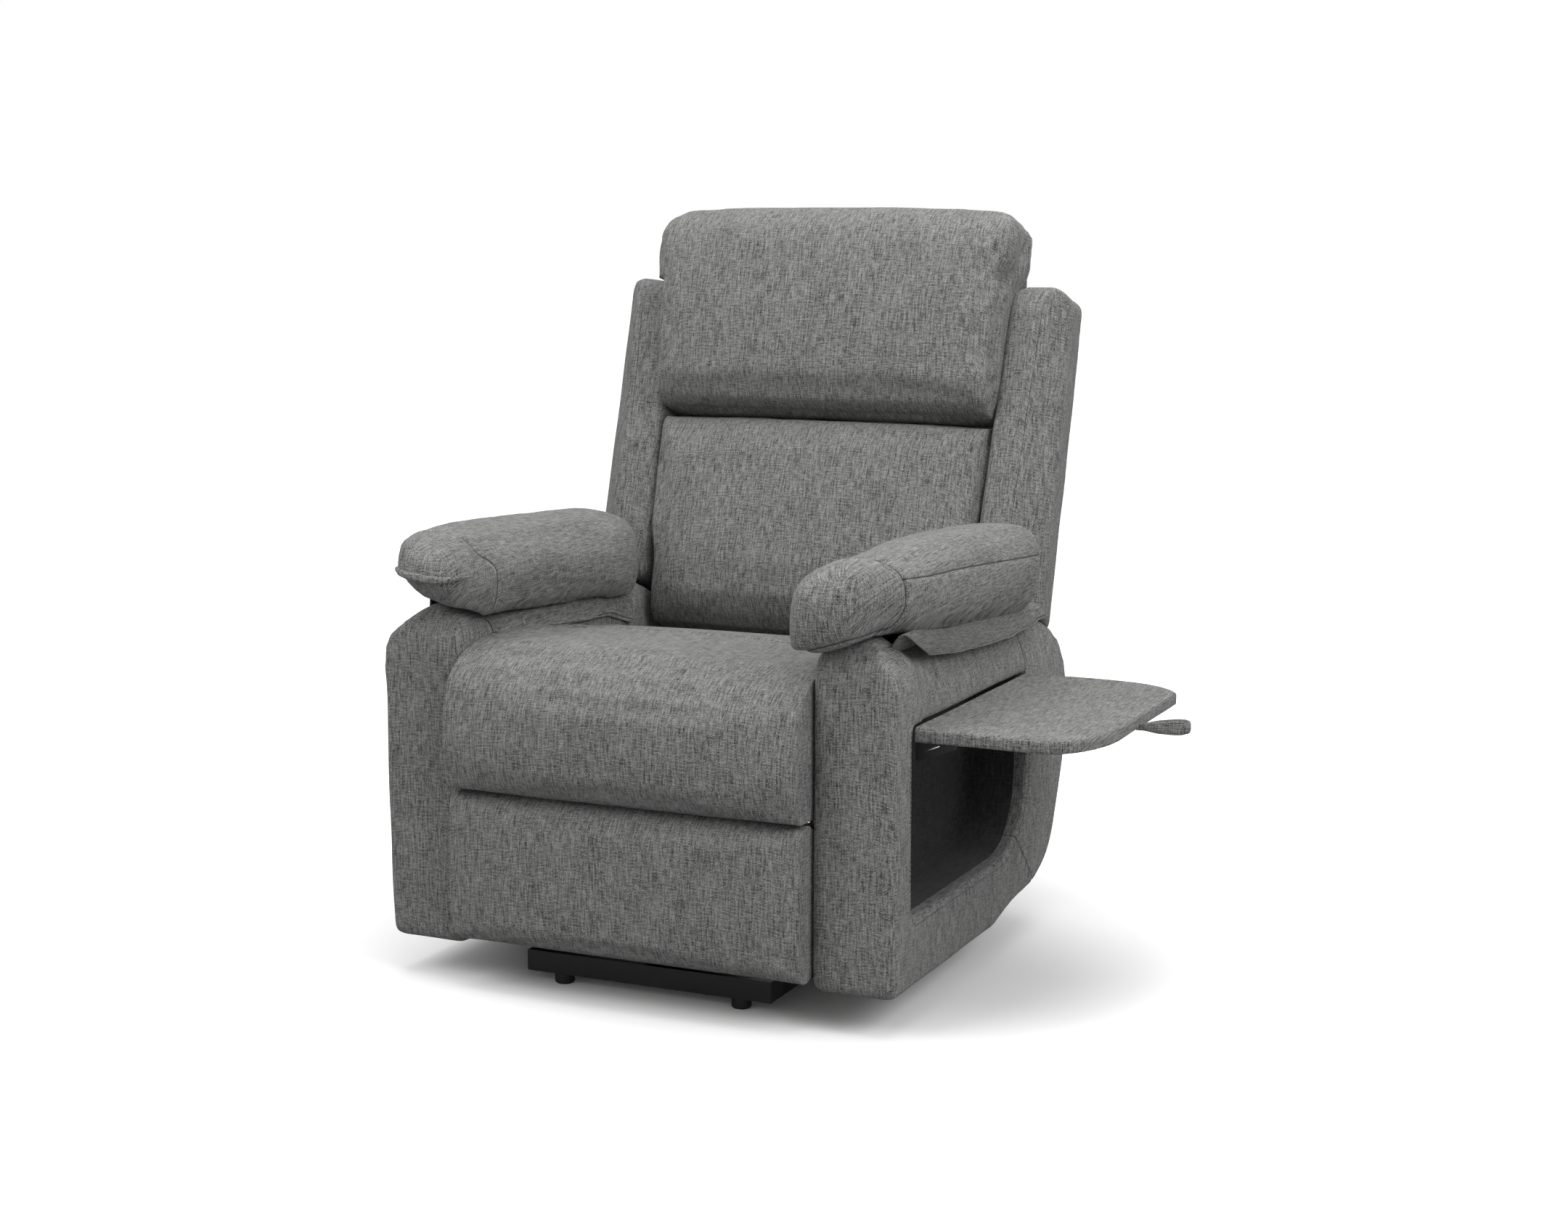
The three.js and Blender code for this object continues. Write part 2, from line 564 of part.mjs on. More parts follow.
// ---------------------------------------------------------------- seat frame, springs and cushion
const FRAME_OUTER = ARM_INNER - FIT;
placePair('seat_rail_side', block(FRAME_OUTER - RAIL, FRAME_OUTER, FRAME_FRONT, FRAME_REAR,
  SEAT_FRAME_BOTTOM, SEAT_BASE), PLYWOOD);
const innerHalf = FRAME_OUTER - RAIL - FIT;
place('seat_rail_front', block(-innerHalf, innerHalf, FRAME_FRONT, FRAME_FRONT + RAIL,
  FRONT_RAIL_BOTTOM, SEAT_BASE), PLYWOOD);
place('seat_rail_rear', cut(block(-innerHalf, innerHalf, FRAME_REAR - RAIL, FRAME_REAR,
  SEAT_BASE - REAR_RAIL, SEAT_BASE),
block(-26, 26, FRAME_REAR - RAIL - 5, FRAME_REAR + 5, SEAT_BASE - REAR_RAIL - 8, SEAT_BASE - 12)), PLYWOOD);

function zigzagSpring(x) {
  const from = FRAME_FRONT + 3;
  const to = FRAME_REAR - 3;
  const z = SEAT_BASE + FIT + SPRING_WIRE;
  const turns = SPRING_WAVES * 4;
  const path = new THREE.CatmullRomCurve3(Array.from({ length: turns + 1 }, (_, i) => new THREE.Vector3(
    x + SPRING_SWING * Math.sin(i * Math.PI / 2), from + (to - from) * i / turns, z)));
  const section = new THREE.Shape([[-1, -1], [1, -1], [1, 1], [-1, 1]].map(([a, b]) => (
    new THREE.Vector2(a * SPRING_WIRE * 0.9, b * SPRING_WIRE * 0.9))));
  const steps = SPRING_WAVES * 6;
  return new THREE.ExtrudeGeometry(section, { extrudePath: path, steps, bevelEnabled: false });
}

for (let i = 0; i < SPRING_COUNT; i += 1) {
  const pitch = 2 * innerHalf / SPRING_COUNT;
  place(`seat_spring_${i + 1}`, zigzagSpring((i - (SPRING_COUNT - 1) / 2) * pitch), SPRING_STEEL);
}

const seatFloor = SEAT_BASE + 2 * SPRING_WIRE + 2 * FIT;
const seatRoll = FRAME_FRONT - FIT;
const overFrame = (share) => seatFloor + share * (SEAT_HEIGHT - seatFloor);
const overSeam = (share) => SEAT_SEAM + share * (SEAT_HEIGHT - SEAT_SEAM);
place('seat_cushion', cushion({
  half: SEAT_HALF,
  crown: SEAT_CROWN,
  edge: 12,
  profile: [
    [SEAT_REAR, seatFloor], [SEAT_REAR, overFrame(0.35), 0.1], [SEAT_REAR - 10, overFrame(0.52), 0.2],
    [SEAT_REAR - 34, overFrame(0.62), 0.2], [430, overFrame(0.73), 0.2], [370, overFrame(0.8), 0.2],
    [SEAT_CREASE + 8, overFrame(0.86), 0.2], [SEAT_CREASE, overFrame(0.83), 0.2],
    [SEAT_CREASE - 8, overFrame(0.87), 0.2], [230, overFrame(0.944), 0.2], [165, overFrame(0.993), 0.2],
    [105, SEAT_HEIGHT, 0.2], [58, overSeam(0.995), 0.25], [22, overSeam(0.961), 0.35], [-14, overSeam(0.877), 0.55],
    [-36, overSeam(0.75), 0.6], [-46, overSeam(0.574), 0.5], [-51, overSeam(0.363), 0.45],
    [-49, overSeam(0.206), 0.4], [-43, overSeam(0.069), 0.3], [-37, SEAT_SEAM, 0.1],
    [seatRoll, SEAT_SEAM], [seatRoll, seatFloor],
  ],
}), FABRIC);

// ---------------------------------------------------------------- arms
// The arm's section in (x, z): its top turns down steeply outside and gently inside.
function armSection(height, grow) {
  const [run, fall] = OUTER_SHOULDER;
  const ridge = ARM_OUTER - run;
  const inward = ridge - ARM_INNER;
  return [
    new THREE.Vector2(ARM_INNER - grow, 0), new THREE.Vector2(ARM_OUTER + grow, 0),
    ...sweep(ridge, height - fall, run + grow, fall + grow, 0, 90, 9),
    ...sweep(ridge, height - INNER_SHOULDER, inward + grow, INNER_SHOULDER + grow, 90, 180, 6).slice(1),
  ];
}

// grow thickens the arm evenly, so that the apron can be cut from a slightly larger arm.
function armBlank(grow) {
  const top = ARM_REST_HEIGHT + grow;
  const corner = ARM_CORNER_RADIUS + grow;
  const end = ARM_LENGTH + grow;
  const bottom = ARM_BOTTOM - grow;
  const cornerArc = [86, 68, 50, 32, 14].map((degrees) => [
    PIVOT_Y + corner * Math.cos(radians(degrees)), PIVOT_Z + corner * Math.sin(radians(degrees))]);
  const side = rounded([
    [-grow, bottom, ARM_TOE_RADIUS],
    [end - ARM_HEEL_RUN, bottom, 60],
    [end - 60, bottom + 55, 90],
    [end, bottom + ARM_HEEL_RISE + 90, 120],
    [end, PIVOT_Z + 6],
    ...cornerArc.toReversed().filter(([y]) => y < end - 1),
    [PIVOT_Y - 8, PIVOT_Z + corner + 2],
    [PIVOT_Y - 72, top],
    [POST_LENGTH + POST_RUN, top, 60],
    [POST_LENGTH, ARM_FRONT_HEIGHT + grow, 30],
    [-grow, ARM_FRONT_HEIGHT + grow, 58],
  ], 5);
  const beyond = POST_LENGTH + POST_RUN;
  const tops = [[-BEYOND, ARM_FRONT_HEIGHT], [POST_LENGTH, ARM_FRONT_HEIGHT], [beyond, ARM_REST_HEIGHT],
    [BEYOND, ARM_REST_HEIGHT]];
  const rings = tops.map(([y, height]) => armSection(height, grow).map((p) => new THREE.Vector3(p.x, y, p.y)));
  return common(sidePlate(side, ARM_INNER - grow, ARM_OUTER + grow, ARM_EDGE),
    loft(rings, (point) => new THREE.Vector2(point.x, point.z)));
}

const BOARD_SLOT = [ARM_INNER + 3, ARM_INNER + 3 + BOARD];
const boardOutline = (fit, bottom) => rounded([
  [BOARD_ENDS[0] - fit, bottom], [ARM_LENGTH - ARM_HEEL_RUN, bottom],
  [BOARD_ENDS[1] + fit, SEAT_FRAME_BOTTOM], [BOARD_ENDS[1] + fit, BOARD_TOP + fit],
  [BOARD_ENDS[0] - fit, BOARD_TOP + fit],
]);

function armBody() {
  const slot = boardOutline(FIT, ARM_BOTTOM - 1);
  return cut(armBlank(0), sidePlate(slot, BOARD_SLOT[0] - FIT, BOARD_SLOT[1] + FIT));
}

const POCKET_REAR = POCKET_FRONT + POCKET_LENGTH;
const pocketOutline = rounded([
  [POCKET_FRONT, FLAP_TOP + FIT], [POCKET_FRONT, POCKET_BOTTOM, POCKET_FRONT_RADIUS],
  [POCKET_REAR, POCKET_BOTTOM, POCKET_REAR_RADIUS], [POCKET_REAR, FLAP_TOP + FIT],
], 8);
place('arm_left', mirrored(armBody()), FABRIC);
place('arm_right', cut(armBody(), sidePlate(pocketOutline, ARM_OUTER - POCKET_DEPTH, BEYOND)), FABRIC);
placePair('arm_board', sidePlate(boardOutline(0, ARM_BOTTOM + 2), ...BOARD_SLOT), PLYWOOD);

// Fabric apron hanging from under the pad, down both faces of the arm.
function apron() {
  const sheet = cut(armBlank(FIT + APRON), armBlank(FIT));
  const hemOutline = (drops, end) => {
    const [front, middle, rear] = drops.map((drop) => ARM_REST_HEIGHT - drop);
    return [
      [-PAD_OVERHANG, 0], [BEYOND, 0], [BEYOND, rear], [end, rear], [APRON_MIDDLE, middle],
      [APRON_FRONT, front], [-PAD_OVERHANG, front],
    ].map((p) => new THREE.Vector2(...p));
  };
  const outerSide = ARM_INNER + ARM_WIDTH / 2;
  return cut(sheet,
    sidePlate(hemOutline(OUTER_HEM, APRON_REAR), outerSide, BEYOND),
    sidePlate(hemOutline(INNER_HEM, APRON_INNER_REAR), 0, outerSide),
    block(0, BEYOND, -BEYOND, APRON_FRONT, 0, BEYOND),
    block(0, BEYOND, APRON_REAR, BEYOND, 0, BEYOND),
    block(0, ARM_INNER + ARM_WIDTH / 3, APRON_INNER_REAR, BEYOND, 0, BEYOND),
    block(0, ARM_OUTER - ARM_EDGE - 2, APRON_TOP_REAR, BEYOND, 0, BEYOND));
}
placePair('arm_apron', apron(), FABRIC);

// The pad is a stuffed bolster that hangs over the arm's inner face. Its nose and heel are rounded
// in every direction, most of all the nose towards the outer side, and its foot follows the arm.
function armPad() {
  const grown = (distance, reach) => {
    const missing = 1 - Math.min(1, distance / reach);
    return (1 - missing ** 2.2) ** (1 / 2.2);
  };
  const fromNose = [2, 6, 14, 27, 45, 70, 105, 150, 200, 260];
  const toHeel = [150, 100, 66, 40, 22, 10, 3];
  const sides = 28;
  const rings = [...fromNose, ...toHeel.map((left) => PAD_LENGTH - left)].map((along) => {
    const left = PAD_LENGTH - along;
    const inner = Math.max(PAD_TIP - (PAD_TIP - PAD_INNER) * grown(along, PAD_NOSE[0]),
      PAD_HEEL_TURN[0] - (PAD_HEEL_TURN[0] - PAD_INNER) * grown(left, PAD_HEEL[0]));
    const outer = Math.min(PAD_TIP + (PAD_OUTER - PAD_TIP) * grown(along, PAD_NOSE[1]),
      PAD_HEEL_TURN[1] + (PAD_OUTER - PAD_HEEL_TURN[1]) * grown(left, PAD_HEEL[1]));
    const y = along - PAD_OVERHANG;
    const top = PAD_TOP - PAD_TOP_FALL * y;
    const under = PAD_UNDER - PAD_UNDER_FALL * y;
    const tall = (top - under) / 2 * grown(Math.min(along, left), PAD_END);
    return Array.from({ length: sides }, (_, i) => {
      const angle = 2 * Math.PI * (i + 0.5) / sides;
      const a = Math.sign(Math.cos(angle)) * Math.abs(Math.cos(angle)) ** PAD_ROUND;
      const b = Math.sign(Math.sin(angle)) * Math.abs(Math.sin(angle)) ** PAD_ROUND;
      const across = (inner + outer) / 2 + a * (outer - inner) / 2;
      const lean = THREE.MathUtils.lerp(...PAD_LEAN, (b + 1) / 2);
      const height = (top + under) / 2 + b * tall + lean * (across - (PAD_INNER + PAD_OUTER) / 2);
      return new THREE.Vector3(across, y, height);
    });
  });
  return cut(loft(rings, (point) => new THREE.Vector2(point.x, point.z)), armBlank(2 * FIT + APRON));
}
placePair('arm_pad', armPad(), FABRIC);

// ---------------------------------------------------------------- flap, its bracket and pull loop
const flapFront = POCKET_FRONT + FLAP_PLAY;
const flapRear = POCKET_REAR - FLAP_PLAY;
const hingeInner = HINGE_X + FIT;
const flapTip = HINGE_X + FLAP_REACH;
const flapArc = POCKET_REAR_RADIUS - FLAP_PLAY;      // the flap's rear corner follows the pocket's
const flapArcX = HINGE_X + FLAP_TOP - POCKET_BOTTOM - POCKET_REAR_RADIUS;
const flapOutline = [
  new THREE.Vector2(hingeInner, flapFront),
  ...sweep(flapTip - 66, flapFront + FLAP_FRONT_SWEEP, 66, FLAP_FRONT_SWEEP, 270, 360),
  ...sweep(flapArcX, flapRear - flapArc, flapArc, flapArc,
    THREE.MathUtils.radToDeg(Math.acos((flapTip - flapArcX) / flapArc)), 90),
  new THREE.Vector2(hingeInner, flapRear),
];
place('side_flap', flatPlate(flapOutline, FLAP_TOP - FLAP_THICKNESS, FLAP_TOP), FABRIC);

const loopOuterHalf = LOOP_GAP / 2 + LOOP_STRAP;
const loopRing = (half, from, to) => [
  new THREE.Vector2(from, -half), ...sweep(to - half, 0, half, half, -90, 90, 6), new THREE.Vector2(from, half),
];
const loopTop = FLAP_TOP - 4;
place('pull_loop', cut(
  flatPlate(loopRing(loopOuterHalf, flapTip + FIT, flapTip + LOOP_LENGTH), loopTop - LOOP_WIDTH, loopTop),
  flatPlate(loopRing(LOOP_GAP / 2, flapTip + FIT + 8, flapTip + LOOP_LENGTH - LOOP_STRAP), 0, BEYOND),
).translate(0, LOOP_AT, 0), FABRIC);

const bracketTop = FLAP_TOP - FLAP_THICKNESS - FIT;
const wallLegY = POCKET_FRONT + FIT;
const flapLegY = wallLegY + BRACKET_PLATE + 1;
const wallLegX = HINGE_X - 24;
const wallLegFoot = bracketTop - BRACKET_LEG;
place('bracket_wall_leg', frontPlate(rounded([
  [wallLegX - BRACKET_WIDTH, bracketTop - 4, 2], [wallLegX - BRACKET_WIDTH, wallLegFoot, 6],
  [wallLegX, wallLegFoot, 6], [wallLegX + 4, bracketTop - 4, 2],
], 3), wallLegY, wallLegY + BRACKET_PLATE), BLACK_STEEL);
place('bracket_flap_leg', frontPlate(rounded([
  [hingeInner + 2, bracketTop - 26, 4], [hingeInner + BRACKET_LEG, bracketTop - 5, 2],
  [hingeInner + BRACKET_LEG, bracketTop], [hingeInner + 2, bracketTop],
], 3), flapLegY, flapLegY + BRACKET_PLATE), BLACK_STEEL);

// ---------------------------------------------------------------- backrest
const narrow = ARM_INNER - 5;          // between the arms
const shoulder = 160;                  // height in the back's frame where it widens over the arms

place('back_board', join(
  block(-narrow, narrow, BOARD_FRONT, BOARD_FRONT + BACK_BOARD, LUMBAR_BOTTOM, shoulder + 1),
  block(-BACK_HALF, BACK_HALF, BOARD_FRONT, BOARD_FRONT + BACK_BOARD, shoulder, WING_TOP + 40)), PLYWOOD, back);

const hingeBarTop = 70;
const barBack = BOARD_FRONT + BACK_BOARD + FIT;
const hingeRoot = barBack + LINK_HALF + 6;
const lugOutline = barOutline([0, 0], [hingeRoot, hingeBarTop - LINK_HALF], LINK_HALF);
place('back_hinge_bar', cut(join(
  block(-REAR_LINK_LANE - PLATE / 2, REAR_LINK_LANE + PLATE / 2, barBack, barBack + CROSS_BAR,
    hingeBarTop - CROSS_BAR, hingeBarTop),
  ...[-REAR_LINK_LANE, REAR_LINK_LANE].map((x) => lane(lugOutline, x)),
  sidePlate(barOutline([0, -RECLINE_CRANK_DROP], [hingeRoot, hingeBarTop - LINK_HALF], LINK_HALF),
    -CRANK_PLATE / 2, CRANK_PLATE / 2)),
hole([0, 0], REAR_LINK_LANE), hole([0, 0], -REAR_LINK_LANE),
crossShaft([0, -RECLINE_CRANK_DROP], -CRANK_PLATE, CRANK_PLATE, PIN_RADIUS)), BLACK_STEEL, back);

const tiltBack = (y, z) => new THREE.Vector2(y, z).rotateAround(new THREE.Vector2(), -radians(BACK_TILT));
const reclineCrank = tiltBack(0, -RECLINE_CRANK_DROP);
placeMotor('recline', RECLINE_TAIL, [PIVOT_Y + reclineCrank.x, PIVOT_Z + reclineCrank.y],
  RECLINE_STROKE);

// Rear cover: a thin padded skin from below the pivot, curving forward over the board's top.
const shellTop = BACK_HEIGHT - 22;
const coverLine = [[1, 0.03], [1, 0.45], [0.92, 0.76], [0.73, 0.89], [0.36, 0.977]];
const coverInner = coverLine.map(([depth, height], i) => (
  [depth * COVER_DEPTH - SHELL, height * shellTop - (i > 1 ? SHELL / 2 : 0)]));
const belowShoulder = (x0, x1) => block(x0, x1, 0, 2 * COVER_DEPTH, 0, shoulder);
const coverFront = frontPlate(rounded([
  [-BACK_HALF, 0], [BACK_HALF, 0], [BACK_HALF, shellTop + 1, 55], [-BACK_HALF, shellTop + 1, 55],
]), -BEYOND, BEYOND);
place('back_cover', cut(common(sidePlate([
  ...coverLine.map(([depth, height]) => [depth * COVER_DEPTH, height * shellTop]),
  [BOARD_FRONT + BACK_BOARD + FIT, shellTop], [BOARD_FRONT + BACK_BOARD + FIT, shellTop - SHELL],
  ...coverInner.toReversed(),
].map((p) => new THREE.Vector2(...p)), -BACK_HALF, BACK_HALF), coverFront),
belowShoulder(narrow, BEYOND), belowShoulder(-BEYOND, -narrow)), FABRIC, back);

const wingInner = (z) => WING_INNER - WING_SPLAY * (1 - z / WING_TOP);
const betweenWings = (z) => wingInner(z) - 1.5;

// Wings stand outside the cushions; their feet clear the arm's rounded corner as the back reclines.
function wing() {
  const inner = ARM_CORNER_RADIUS + WING_CLEARANCE;
  const toBack = (y, z) => {
    const p = new THREE.Vector2(y - PIVOT_Y, z - PIVOT_Z).rotateAround(new THREE.Vector2(), radians(BACK_TILT));
    return [p.x, p.y];
  };
  const foot = [50, 62, 74, 86].map((degrees) => toBack(
    PIVOT_Y + inner * Math.cos(radians(degrees)), PIVOT_Z + inner * Math.sin(radians(degrees))));
  const outline = rounded([
    [WING_REAR_FOOT, foot[0][1]],
    [WING_REAR_TOP, WING_TOP, 24],
    [WING_FRONT + 4, WING_TOP, 46],
    [WING_FRONT, 200],
    toBack(PIVOT_Y - 45, PIVOT_Z + inner + 30),
    ...foot.toReversed(),
  ], 5);
  const outer = WING_INNER + WING_WIDTH;
  const ends = frontPlate(rounded([
    [WING_INNER, 0], [outer, 0], [outer, WING_TOP, WING_SHOULDER], [WING_INNER, WING_TOP, WING_SHOULDER / 2],
  ], 5), -BEYOND, BEYOND);
  const plan = flatPlate(rounded([
    [0, WING_FRONT - 1], [WING_INNER + WING_FACE, WING_FRONT - 1, 16], [outer, WING_FRONT + WING_TURN, 40],
    [outer - WING_TAPER, WING_REAR_FOOT + 1, 12], [0, WING_REAR_FOOT + 1],
  ], 5), -BEYOND, BEYOND);
  const shape = common(common(sidePlate(outline, WING_INNER, outer, 8), ends), plan);
  const position = shape.attributes.position;
  for (let i = 0; i < position.count; i += 1) {
    const x = position.getX(i);
    position.setX(i, x - (outer - x) / WING_WIDTH * (WING_INNER - wingInner(position.getZ(i))));
  }
  return shape;
}
placePair('wing', wing(), FABRIC, back);

const cushionBack = BOARD_FRONT - FIT;
const lumbarShape = (x, z) => {
  const share = THREE.MathUtils.smoothstep(z, shoulder, shoulder + 50);
  return x / LUMBAR_HALF * THREE.MathUtils.lerp(narrow - 1, betweenWings(z), share);
};
const lumbarFace = cushionBack - LUMBAR_DEPTH;
const lumbarTop = HEAD_BOTTOM - 2;
place('lumbar_cushion', cushion({
  half: LUMBAR_HALF,
  crown: 20,
  edge: 14,
  shape: lumbarShape,
  profile: [
    [cushionBack, lumbarTop], [lumbarFace + 46, lumbarTop], [lumbarFace + 18, lumbarTop - 6, 0.25],
    [lumbarFace + 6, lumbarTop - 22, 0.6], [lumbarFace, lumbarTop - 60, 0.9], [lumbarFace - 3, 270, 1],
    [lumbarFace - 5, 205, 1], [lumbarFace - 6, 150, 1], [lumbarFace - 2, 100, 0.8],
    [lumbarFace + 8, LUMBAR_BOTTOM + 22, 0.4], [lumbarFace + 24, LUMBAR_BOTTOM, 0.1],
    [cushionBack, LUMBAR_BOTTOM],
  ],
}), FABRIC, back);

const headFace = cushionBack - HEAD_DEPTH;
// Rounds the top corners, seen from the front.
function headShape(x, z) {
  const above = THREE.MathUtils.clamp(z - (BACK_HEIGHT - HEAD_CORNER), 0, HEAD_CORNER);
  const corner = HEAD_CORNER - Math.sqrt(HEAD_CORNER ** 2 - above ** 2);
  return x / HEAD_HALF * (HEAD_HALF - corner * 0.9);
}
// The room of the right wing: below its top the head stays between the wings.
const ledge = WING_TOP + 2;
const wingRoom = frontPlate([
  [betweenWings(0), 0], [BEYOND, 0], [BEYOND, ledge], [betweenWings(ledge), ledge],
].map((p) => new THREE.Vector2(...p)), -BEYOND, BEYOND);
const headTop = BACK_HEIGHT - 6;
const headBend = (ledge + headTop) / 2 - 16;
place('head_cushion', cut(cushion({
  half: HEAD_HALF,
  crown: 12,
  edge: 20,
  shape: headShape,
  profile: [
    [cushionBack, HEAD_BOTTOM], [-72, HEAD_BOTTOM], [-92, HEAD_BOTTOM + 3, 0.2], [-110, HEAD_BOTTOM + 16, 0.6],
    [-121, HEAD_BOTTOM + 48, 0.9], [headFace + 8, HEAD_BOTTOM + 105, 1], [headFace + 3, HEAD_BOTTOM + 165, 1],
    [headFace + 4, ledge, 1], [headFace + 7, headBend, 1], [headFace + 12, headTop - 48, 0.9],
    [headFace + 26, headTop - 22, 0.8], [-84, headTop - 3, 0.6], [-58, headTop, 0.5], [-36, headTop - 10, 0.3],
    [cushionBack, headTop - 34],
  ],
}), wingRoom, mirrored(wingRoom)), FABRIC, back);

// ---------------------------------------------------------------- footrest and its linkage
const boardBack = FOOTREST_BOARD_FRONT + FOOTREST_BOARD;
const footTop = FOOTREST_BOTTOM + FOOTREST_HEIGHT;
const boardHalf = FOOTREST_HALF - 8;
place('footrest_board', block(-boardHalf, boardHalf, FOOTREST_BOARD_FRONT, boardBack,
  FOOTREST_BOTTOM + 8, footTop - 8), PLYWOOD);
const padBack = FOOTREST_BOARD_FRONT - FIT;
const padWrap = block(boardHalf + FIT, FOOTREST_HALF, padBack - 5, FOOTREST_WRAP,
  FOOTREST_BOTTOM + 3, footTop - 3);
place('footrest_pad', join(cushion({
  half: FOOTREST_HALF,
  crown: FOOTREST_CROWN,
  edge: 9,
  profile: [
    [padBack, footTop], [padBack - 20, footTop, 0.1], [FOOTREST_FACE + 2, footTop - 10, 0.5],
    [FOOTREST_FACE - 1, footTop - 36, 0.9], [FOOTREST_FACE - 2, footTop - 80, 1],
    [FOOTREST_FACE - 2, FOOTREST_BOTTOM + 80, 1], [FOOTREST_FACE - 1, FOOTREST_BOTTOM + 34, 0.8],
    [FOOTREST_FACE + 3, FOOTREST_BOTTOM + 8, 0.4], [padBack - 20, FOOTREST_BOTTOM, 0.1],
    [padBack, FOOTREST_BOTTOM],
  ],
}), padWrap, mirrored(padWrap)), FABRIC);

placePair('footrest_rear_link', join(
  cut(lane(barOutline(FOOT_LINK_PIVOT, FOOT_LINK_TIP, FOOT_LINK_HALF), REAR_LINK_LANE),
    hole(FOOT_LINK_PIVOT, REAR_LINK_LANE)),
  stud(FOOT_LINK_TIP, REAR_LINK_LANE - PLATE / 2, FRONT_LINK_LANE)), ZINC);
placePair('footrest_front_link', join(
  cut(lane(barOutline(FOOT_LINK_TIP, FOOT_BRACKET, FOOT_LINK_HALF), FRONT_LINK_LANE),
    hole(FOOT_LINK_TIP, FRONT_LINK_LANE)),
  stud(FOOT_BRACKET, FRONT_LINK_LANE - PLATE / 2, BRACKET_LANE)), ZINC);
placePair('footrest_bracket', cut(lane(rounded([
  [boardBack + FIT, FOOT_BRACKET[1] - 40], [FOOT_BRACKET[0], FOOT_BRACKET[1] - 14, 6],
  [FOOT_BRACKET[0] + 14, FOOT_BRACKET[1] - 14, 10], [FOOT_BRACKET[0] + 14, FOOT_BRACKET[1] + 14, 10],
  [FOOT_BRACKET[0], FOOT_BRACKET[1] + 14, 6], [boardBack + FIT, FOOT_BRACKET[1] + 40],
]), BRACKET_LANE), hole(FOOT_BRACKET, BRACKET_LANE)), ZINC);

// ---------------------------------------------------------------- origin: middle of the floor area
chair.updateMatrixWorld(true);
const extent = new THREE.Box3().setFromObject(chair, true);
const middle = extent.getCenter(new THREE.Vector3());
chair.position.set(-middle.x, -middle.y, -extent.min.z);

export default chair;
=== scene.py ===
import json
import logging
import math
from dataclasses import dataclass
from enum import Enum
from typing import Callable, Optional, Sequence, Union

import bmesh
import bpy
import numpy as np
from mathutils import Matrix, Vector
from mathutils.bvhtree import BVHTree


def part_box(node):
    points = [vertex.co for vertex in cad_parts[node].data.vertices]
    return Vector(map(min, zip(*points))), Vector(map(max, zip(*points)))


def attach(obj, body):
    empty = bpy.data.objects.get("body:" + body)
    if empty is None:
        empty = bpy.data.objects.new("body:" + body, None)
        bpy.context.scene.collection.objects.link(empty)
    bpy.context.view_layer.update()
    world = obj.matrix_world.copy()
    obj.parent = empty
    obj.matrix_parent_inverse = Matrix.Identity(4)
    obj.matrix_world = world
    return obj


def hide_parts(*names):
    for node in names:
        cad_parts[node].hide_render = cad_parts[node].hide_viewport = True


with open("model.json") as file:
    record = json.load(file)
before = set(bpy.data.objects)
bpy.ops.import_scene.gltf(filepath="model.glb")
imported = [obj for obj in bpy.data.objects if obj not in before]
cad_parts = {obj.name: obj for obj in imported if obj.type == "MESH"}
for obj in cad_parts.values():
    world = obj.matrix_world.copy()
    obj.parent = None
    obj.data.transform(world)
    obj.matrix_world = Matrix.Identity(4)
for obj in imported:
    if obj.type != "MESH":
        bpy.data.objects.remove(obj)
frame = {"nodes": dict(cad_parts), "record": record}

logging.basicConfig(level=logging.INFO, format="%(name)s: %(message)s")
log = logging.getLogger("chair")

MM = 0.001
BEAM_FRONT = 48.0           # y of the base's front face, in the chair's frame
BACK_PIVOT = (0.0, 622.0, 372.0)
BACK_LEAN = 16.0            # degrees from upright
RIPPLE_WAVES = 6
RIPPLE_SUM = 3.2            # brings the waves' sum to about -1 to 1
Points = np.ndarray
Triple = Sequence[float]


# ---------------------------------------------------------------- places and small geometry
@dataclass(frozen=True)
class Place:
    """A local frame in millimetres: x across, y front to back, z up.

    Attributes:
        origin: where the local origin lies in the row frame, in metres.
        lean: turn about X, in radians, from the local frame to the row frame.
    """

    origin: tuple[float, float, float]
    lean: float = 0.0

    def turn(self) -> np.ndarray:
        """Returns: the 3x3 turn from local to row axes."""
        c, s = math.cos(self.lean), math.sin(self.lean)
        return np.array([[1, 0, 0], [0, c, -s], [0, s, c]])

    def local(self, points: Points) -> Points:
        """Args: points: (n, 3) in row metres. Returns: the same in local millimetres."""
        return (np.asarray(points, float) - self.origin) @ self.turn() / MM

    def row(self, points: Points) -> Points:
        """Args: points: (n, 3) in local millimetres. Returns: the same in row metres."""
        return np.asarray(points, float) * MM @ self.turn().T + self.origin

    def point(self, x: float, y: float, z: float) -> Vector:
        """Returns: one local point as a row-frame vector."""
        return Vector(self.row(np.array([[x, y, z]]))[0])


def chair_place() -> Place:
    """Returns: the chair's own frame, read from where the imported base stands."""
    low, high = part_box("base_beam_front")
    return Place(((low[0] + high[0]) / 2, low[1] - BEAM_FRONT * MM, 0.0))


CHAIR = chair_place()
BACK = Place(tuple(CHAIR.point(*BACK_PIVOT)), -math.radians(BACK_LEAN))


def smooth(t: Points) -> Points:
    """Args: t: any values. Returns: a soft step from 0 to 1 between 0 and 1."""
    t = np.clip(t, 0, 1)
    return t * t * (3 - 2 * t)


